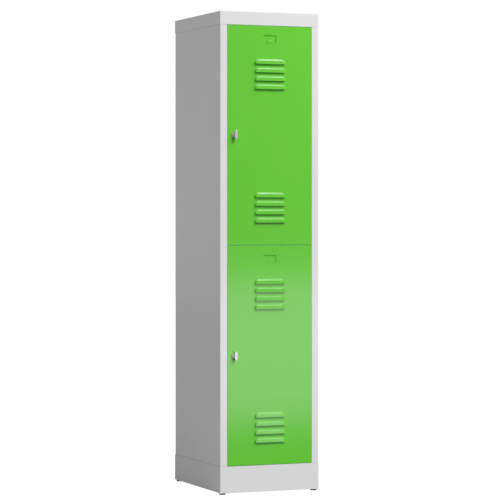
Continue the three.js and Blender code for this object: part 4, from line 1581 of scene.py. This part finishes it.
    def prong(self, end: End) -> Patch:
        """A prong: circles carried down a Bezier curve that turns up at its end, closed by a ball.

        The circles stand square to the curve's slope. The ball lies about the curve's end, and its circles run from
        where the wire goes into it to its top, with the sine and cosine of an evenly stepped angle.

        Args:
            end: which way it reaches.

        Returns:
            The surface.
        """
        start = -(self.up / 2 + self.hook_gap) - self.hook_wall / 2
        low = start - self.drop
        p0, p1 = np.array([self.root, start]), np.array([self.reach * self.root_share, low])
        p2, p3 = np.array([self.reach, low]), np.array([self.reach, start - self.drop * self.rise_share])
        p0, p1, p2, p3 = (place * [end.value, 1] for place in (p0, p1, p2, p3))
        s = np.linspace(0, 1, self.curve_rings)[:-self.sunk_rings, None]
        curve = (1 - s) ** 3 * p0 + 3 * (1 - s) ** 2 * s * p1 + 3 * (1 - s) * s ** 2 * p2 + s ** 3 * p3
        slope = 3 * (1 - s) ** 2 * (p1 - p0) + 6 * (1 - s) * s * (p2 - p1) + 3 * s ** 2 * (p3 - p2)
        ball = np.linspace(math.asin(self.wire / self.tip), math.pi, self.ball_rings)[:, None]
        centres = np.concatenate([curve[:1], curve, p3 - np.array([0.0, self.tip]) * np.cos(ball)])
        ahead = np.concatenate([slope[:1], slope, np.repeat([[0.0, 1.0]], len(ball), axis=0)])
        ahead /= np.linalg.norm(ahead, axis=1)[:, None]
        radii = np.concatenate([[0.0], np.full(len(s), self.wire), self.tip * np.sin(ball[:, 0])])
        ring = radii[:, None, None] * circle(steps=24)[None, :, :]
        y = centres[:, :1] + ring[:, :, 1] * ahead[:, 1:]
        z = centres[:, 1:] - ring[:, :, 1] * ahead[:, :1]
        return Patch(np.stack([ring[:, :, 0], y + self.y, z + self.height], axis=-1), round_columns=True)

    def build(self) -> None:
        """Makes the rail, the sockets with their screws, and the hook."""
        name = self.name
        make_piece(f"{name}_rail", [self.tube()], DRAWN_TUBE, "carcass", [f"{name}_coat_rail"])
        for hand in Hand:
            side = hand.name.lower()
            make_piece(f"{name}_{side}_socket", [self.socket(hand)], PALE_NYLON, "carcass",
                       [f"{name}_{side}_rail_socket"])
            make_piece(f"{name}_{side}_socket_screws", [self.screw(hand, way) for way in Way], DULL_ZINC, "carcass")
        make_piece(f"{name}_hook", [self.band(), *map(self.prong, End)], PALE_NYLON, f"{name}_hook",
                   [f"{name}_coat_hook"])


@dataclass
class Buffers:
    """A door's two rubber buffers on the latch-side stop: low domes.

    Attributes:
        name: which of the doors they are behind.
        base: height of that door's lower edge.
        height: the door's height.
        inset: distance of a buffer from the door's ends.
        x: where they stand.
        front: how far back their fronts lie.
        radius: radius of a buffer.
        thickness: its thickness.
        flat_share: radius of its flat front, as a share of its own.
        dome_share: depth of the dome, as a share of its thickness.
    """

    name: str
    base: float
    height: float = DOOR_HEIGHT
    inset: float = 60.0
    x: float = -166.0
    front: float = 19.4
    radius: float = 4.0
    thickness: float = 2.4
    flat_share: float = 0.45
    dome_share: float = 0.8

    def dome(self, z: float) -> Patch:
        """A flat back and a front whose radius and level follow a quarter ellipse.

        Args:
            z: height of its axis.

        Returns:
            The surface.
        """
        dome, back = self.thickness * self.dome_share, self.front + self.thickness
        profile = [(0.0, back), (self.radius, back)]
        profile += [(self.radius * (self.flat_share + (1 - self.flat_share) * math.cos(t)),
                     self.front + dome * (1 - math.sin(t))) for t in quarter(steps=6)]
        profile.append((0.0, self.front))
        return turned(profile, Axis.Y, (self.x, z), steps=32)

    def build(self) -> None:
        """Makes both buffers."""
        for way in Way:
            z = self.base + self.height / 2 + way.value * (self.height / 2 - self.inset)
            place = f"{self.name}_{way.name}".lower()
            make_piece(f"{place}_bumper", [self.dome(z)], BLACK_RUBBER, "carcass", [f"{place}_buffer"])


@dataclass
class Locker:
    """One of the two lockers: its door, latch, coat rail and buffers.

    Attributes:
        name: which of the two.
        base: height of its door's lower edge.
        rail_rise: how far over that edge its coat rail lies.
    """

    name: str
    base: float
    rail_rise: float = 773.0

    def build(self) -> None:
        """Makes its pieces."""
        LouvredDoor(self.name, self.base).build()
        TurnLatch(self.name, self.base + DOOR_HEIGHT / 2).build()
        CoatRail(self.name, self.base + self.rail_rise).build()
        Buffers(self.name, self.base).build()


# Studio


@dataclass(frozen=True)
class SoftBox:
    """A rectangular light.

    Attributes:
        name: its name.
        place: where it stands, in metres.
        size: its two sides, in metres.
        power: watts.
        gloss_only: it shows only as a reflection.
        way: the direction that it faces, or None to face the cabinet.
    """

    name: str
    place: tuple[float, float, float]
    size: tuple[float, float]
    power: float
    gloss_only: bool = False
    way: tuple[float, float, float] | None = None


@dataclass
class Studio:
    """A plain pale floor, soft light and the camera at the photograph's angle. Places are metres, part's frame.

    Attributes:
        camera_place: where the camera stands.
        camera_yaw: angle in degrees by which it turns to the right.
        focal: its focal length in millimetres.
        sensor: width of its sensor in millimetres.
        shift: its shift upwards.
        far: how far it sees.
        sky: strength of the background behind the object.
        ambient: strength of the even light from all round it.
        gloss_ambient: strength of that light in reflections.
        floor_glow: how much brighter the camera sees the floor.
        floor_colour: the floor's colour.
        floor_half: half of its width, in millimetres.
        floor_drop: how far under the feet it lies, in millimetres.
        boxes: the soft boxes.
        aim: what they face.
        white: light that the tone curve turns to white.
        tone_shares: points of the tone curve, as shares of white.
    """

    camera_place: tuple[float, float, float] = (-3.25815, -8.09442, 1.04489)
    camera_yaw: float = 22.017
    focal: float = 163.62
    sensor: float = 36.0
    shift: float = -0.0723
    far: float = 100.0
    sky: float = 2.6
    ambient: float = 0.2
    gloss_ambient: float = 0.55
    floor_glow: float = 2.85
    floor_colour: Colour = (0.22, 0.22, 0.22)
    floor_half: float = 20000.0
    floor_drop: float = 0.2
    boxes: tuple[SoftBox, ...] = (
        SoftBox("key", (6.45, -16.1, 17.9), (11.0, 11.0), 9700.0),
        SoftBox("side_fill", (-4.0, 0.6, 0.55), (1.0, 1.0), 36.5),
        SoftBox("low_card", (0.36, -1.1, 0.48), (1.6, 0.6), 9.8, True, (0.0, 1.0, 0.0)),
        SoftBox("high_card", (1.0, -0.65, 2.15), (0.4, 0.4), 9.6),
        SoftBox("top_card", (0.48, -0.6, 2.65), (0.6, 0.6), 21.0, True),
    )
    aim: tuple[float, float, float] = (0.0, -0.1, 0.9)
    white: float = 2.5
    tone_shares: tuple[float, ...] = (0.02, 0.05, 0.1, 0.16, 0.24, 0.34, 0.46, 0.6, 0.78)

    def floor(self) -> None:
        """The floor: a wide flat grid, pale, and bright enough to the camera to run into the background."""
        line = spread(self.floor_half, self.floor_half)
        x, y = np.meshgrid(line, line, indexing="ij")
        mesh = bare_mesh("floor", [Patch(np.stack([x, y, 0 * x - self.floor_drop], axis=-1))], closed=False)
        floor = bpy.data.objects.new("floor", mesh)
        bpy.context.scene.collection.objects.link(floor)
        made = bpy.data.materials.new("pale_floor")
        made.use_nodes = True
        made.node_tree.nodes.clear()
        sheet = NodeSheet(made)
        paint = sheet.add("ShaderNodeBsdfDiffuse", {"Color": (*self.floor_colour, 1)}).outputs[0]
        glow = sheet.add("ShaderNodeEmission", {"Color": WHITE, "Strength": self.floor_glow}).outputs[0]
        both = sheet.add("ShaderNodeAddShader", {0: paint, 1: glow}).outputs[0]
        seen = sheet.add("ShaderNodeLightPath").outputs["Is Camera Ray"]
        mix = sheet.add("ShaderNodeMixShader", {"Fac": seen, FIRST_SHADER: paint, SECOND_SHADER: both}).outputs[0]
        sheet.add("ShaderNodeOutputMaterial", {"Surface": mix})
        mesh.materials.append(made)

    def world(self) -> None:
        """White behind the object, and a dimmer even light from all round it."""
        world = bpy.data.worlds.new("studio")
        bpy.context.scene.world = world
        world.use_nodes = True
        world.node_tree.nodes.clear()
        sheet = NodeSheet(world)
        even, gloss, sky = (sheet.add("ShaderNodeBackground", {"Strength": strength, "Color": WHITE}).outputs[0]
                            for strength in (self.ambient, self.gloss_ambient, self.sky))
        path = sheet.add("ShaderNodeLightPath").outputs
        shade = sheet.add("ShaderNodeMixShader", {"Fac": path["Is Glossy Ray"], FIRST_SHADER: even,
                                                  SECOND_SHADER: gloss}).outputs[0]
        shade = sheet.add("ShaderNodeMixShader", {"Fac": path["Is Camera Ray"], FIRST_SHADER: shade,
                                                  SECOND_SHADER: sky}).outputs[0]
        sheet.add("ShaderNodeOutputWorld", {"Surface": shade})

    def lamps(self) -> None:
        """The soft boxes. Each faces its way by a tilt whose tangent is its level part over its fall, and a turn."""
        for box in self.boxes:
            data = bpy.data.lights.new(box.name, "AREA")
            data.shape = "RECTANGLE"
            data.size, data.size_y = box.size
            data.energy = box.power
            lamp = bpy.data.objects.new(box.name, data)
            lamp.visible_diffuse = not box.gloss_only
            way = np.array(box.way) if box.way else np.array(self.aim) - np.array(box.place)
            lamp.location = box.place
            lamp.rotation_euler = (math.atan2(math.hypot(way[0], way[1]), -way[2]), 0, math.atan2(-way[0], way[1]))
            lamp.visible_camera = False
            bpy.context.scene.collection.objects.link(lamp)

    def tone(self) -> None:
        """The picture's tone curve: one minus a falling exponential of the light, scaled to reach white at white."""
        view = bpy.context.scene.view_settings
        view.view_transform = "Standard"
        view.use_curve_mapping = True
        mapping = view.curve_mapping
        mapping.white_level = (self.white, self.white, self.white)
        for share in self.tone_shares:
            level = (1 - math.exp(-share * self.white)) / (1 - math.exp(-self.white))
            mapping.curves[COMBINED_CURVE].points.new(share, level)
        mapping.update()

    def camera(self) -> None:
        """The camera, level, turned to the right by the yaw."""
        data = bpy.data.cameras.new("camera")
        data.sensor_width = self.sensor
        data.lens = self.focal
        data.shift_y = self.shift
        data.clip_end = self.far
        camera = bpy.data.objects.new("camera", data)
        camera.location = self.camera_place
        camera.rotation_euler = (math.radians(90), 0, -math.radians(self.camera_yaw))
        bpy.context.scene.collection.objects.link(camera)
        bpy.context.scene.camera = camera

    def build(self) -> None:
        """Makes the stage, the lights and the camera."""
        self.floor()
        self.world()
        self.lamps()
        self.camera()
        self.tone()


def main() -> None:
    """Builds the locker and its studio."""
    logging.basicConfig(level=logging.INFO, format="%(name)s %(message)s")
    Studio().build()
    dress_carried_nodes()
    Cabinet().build()
    Feet().build()
    Locker("upper", base=928.0).build()
    Locker("lower", base=106.0).build()


if __name__ == "__main__":
    main()
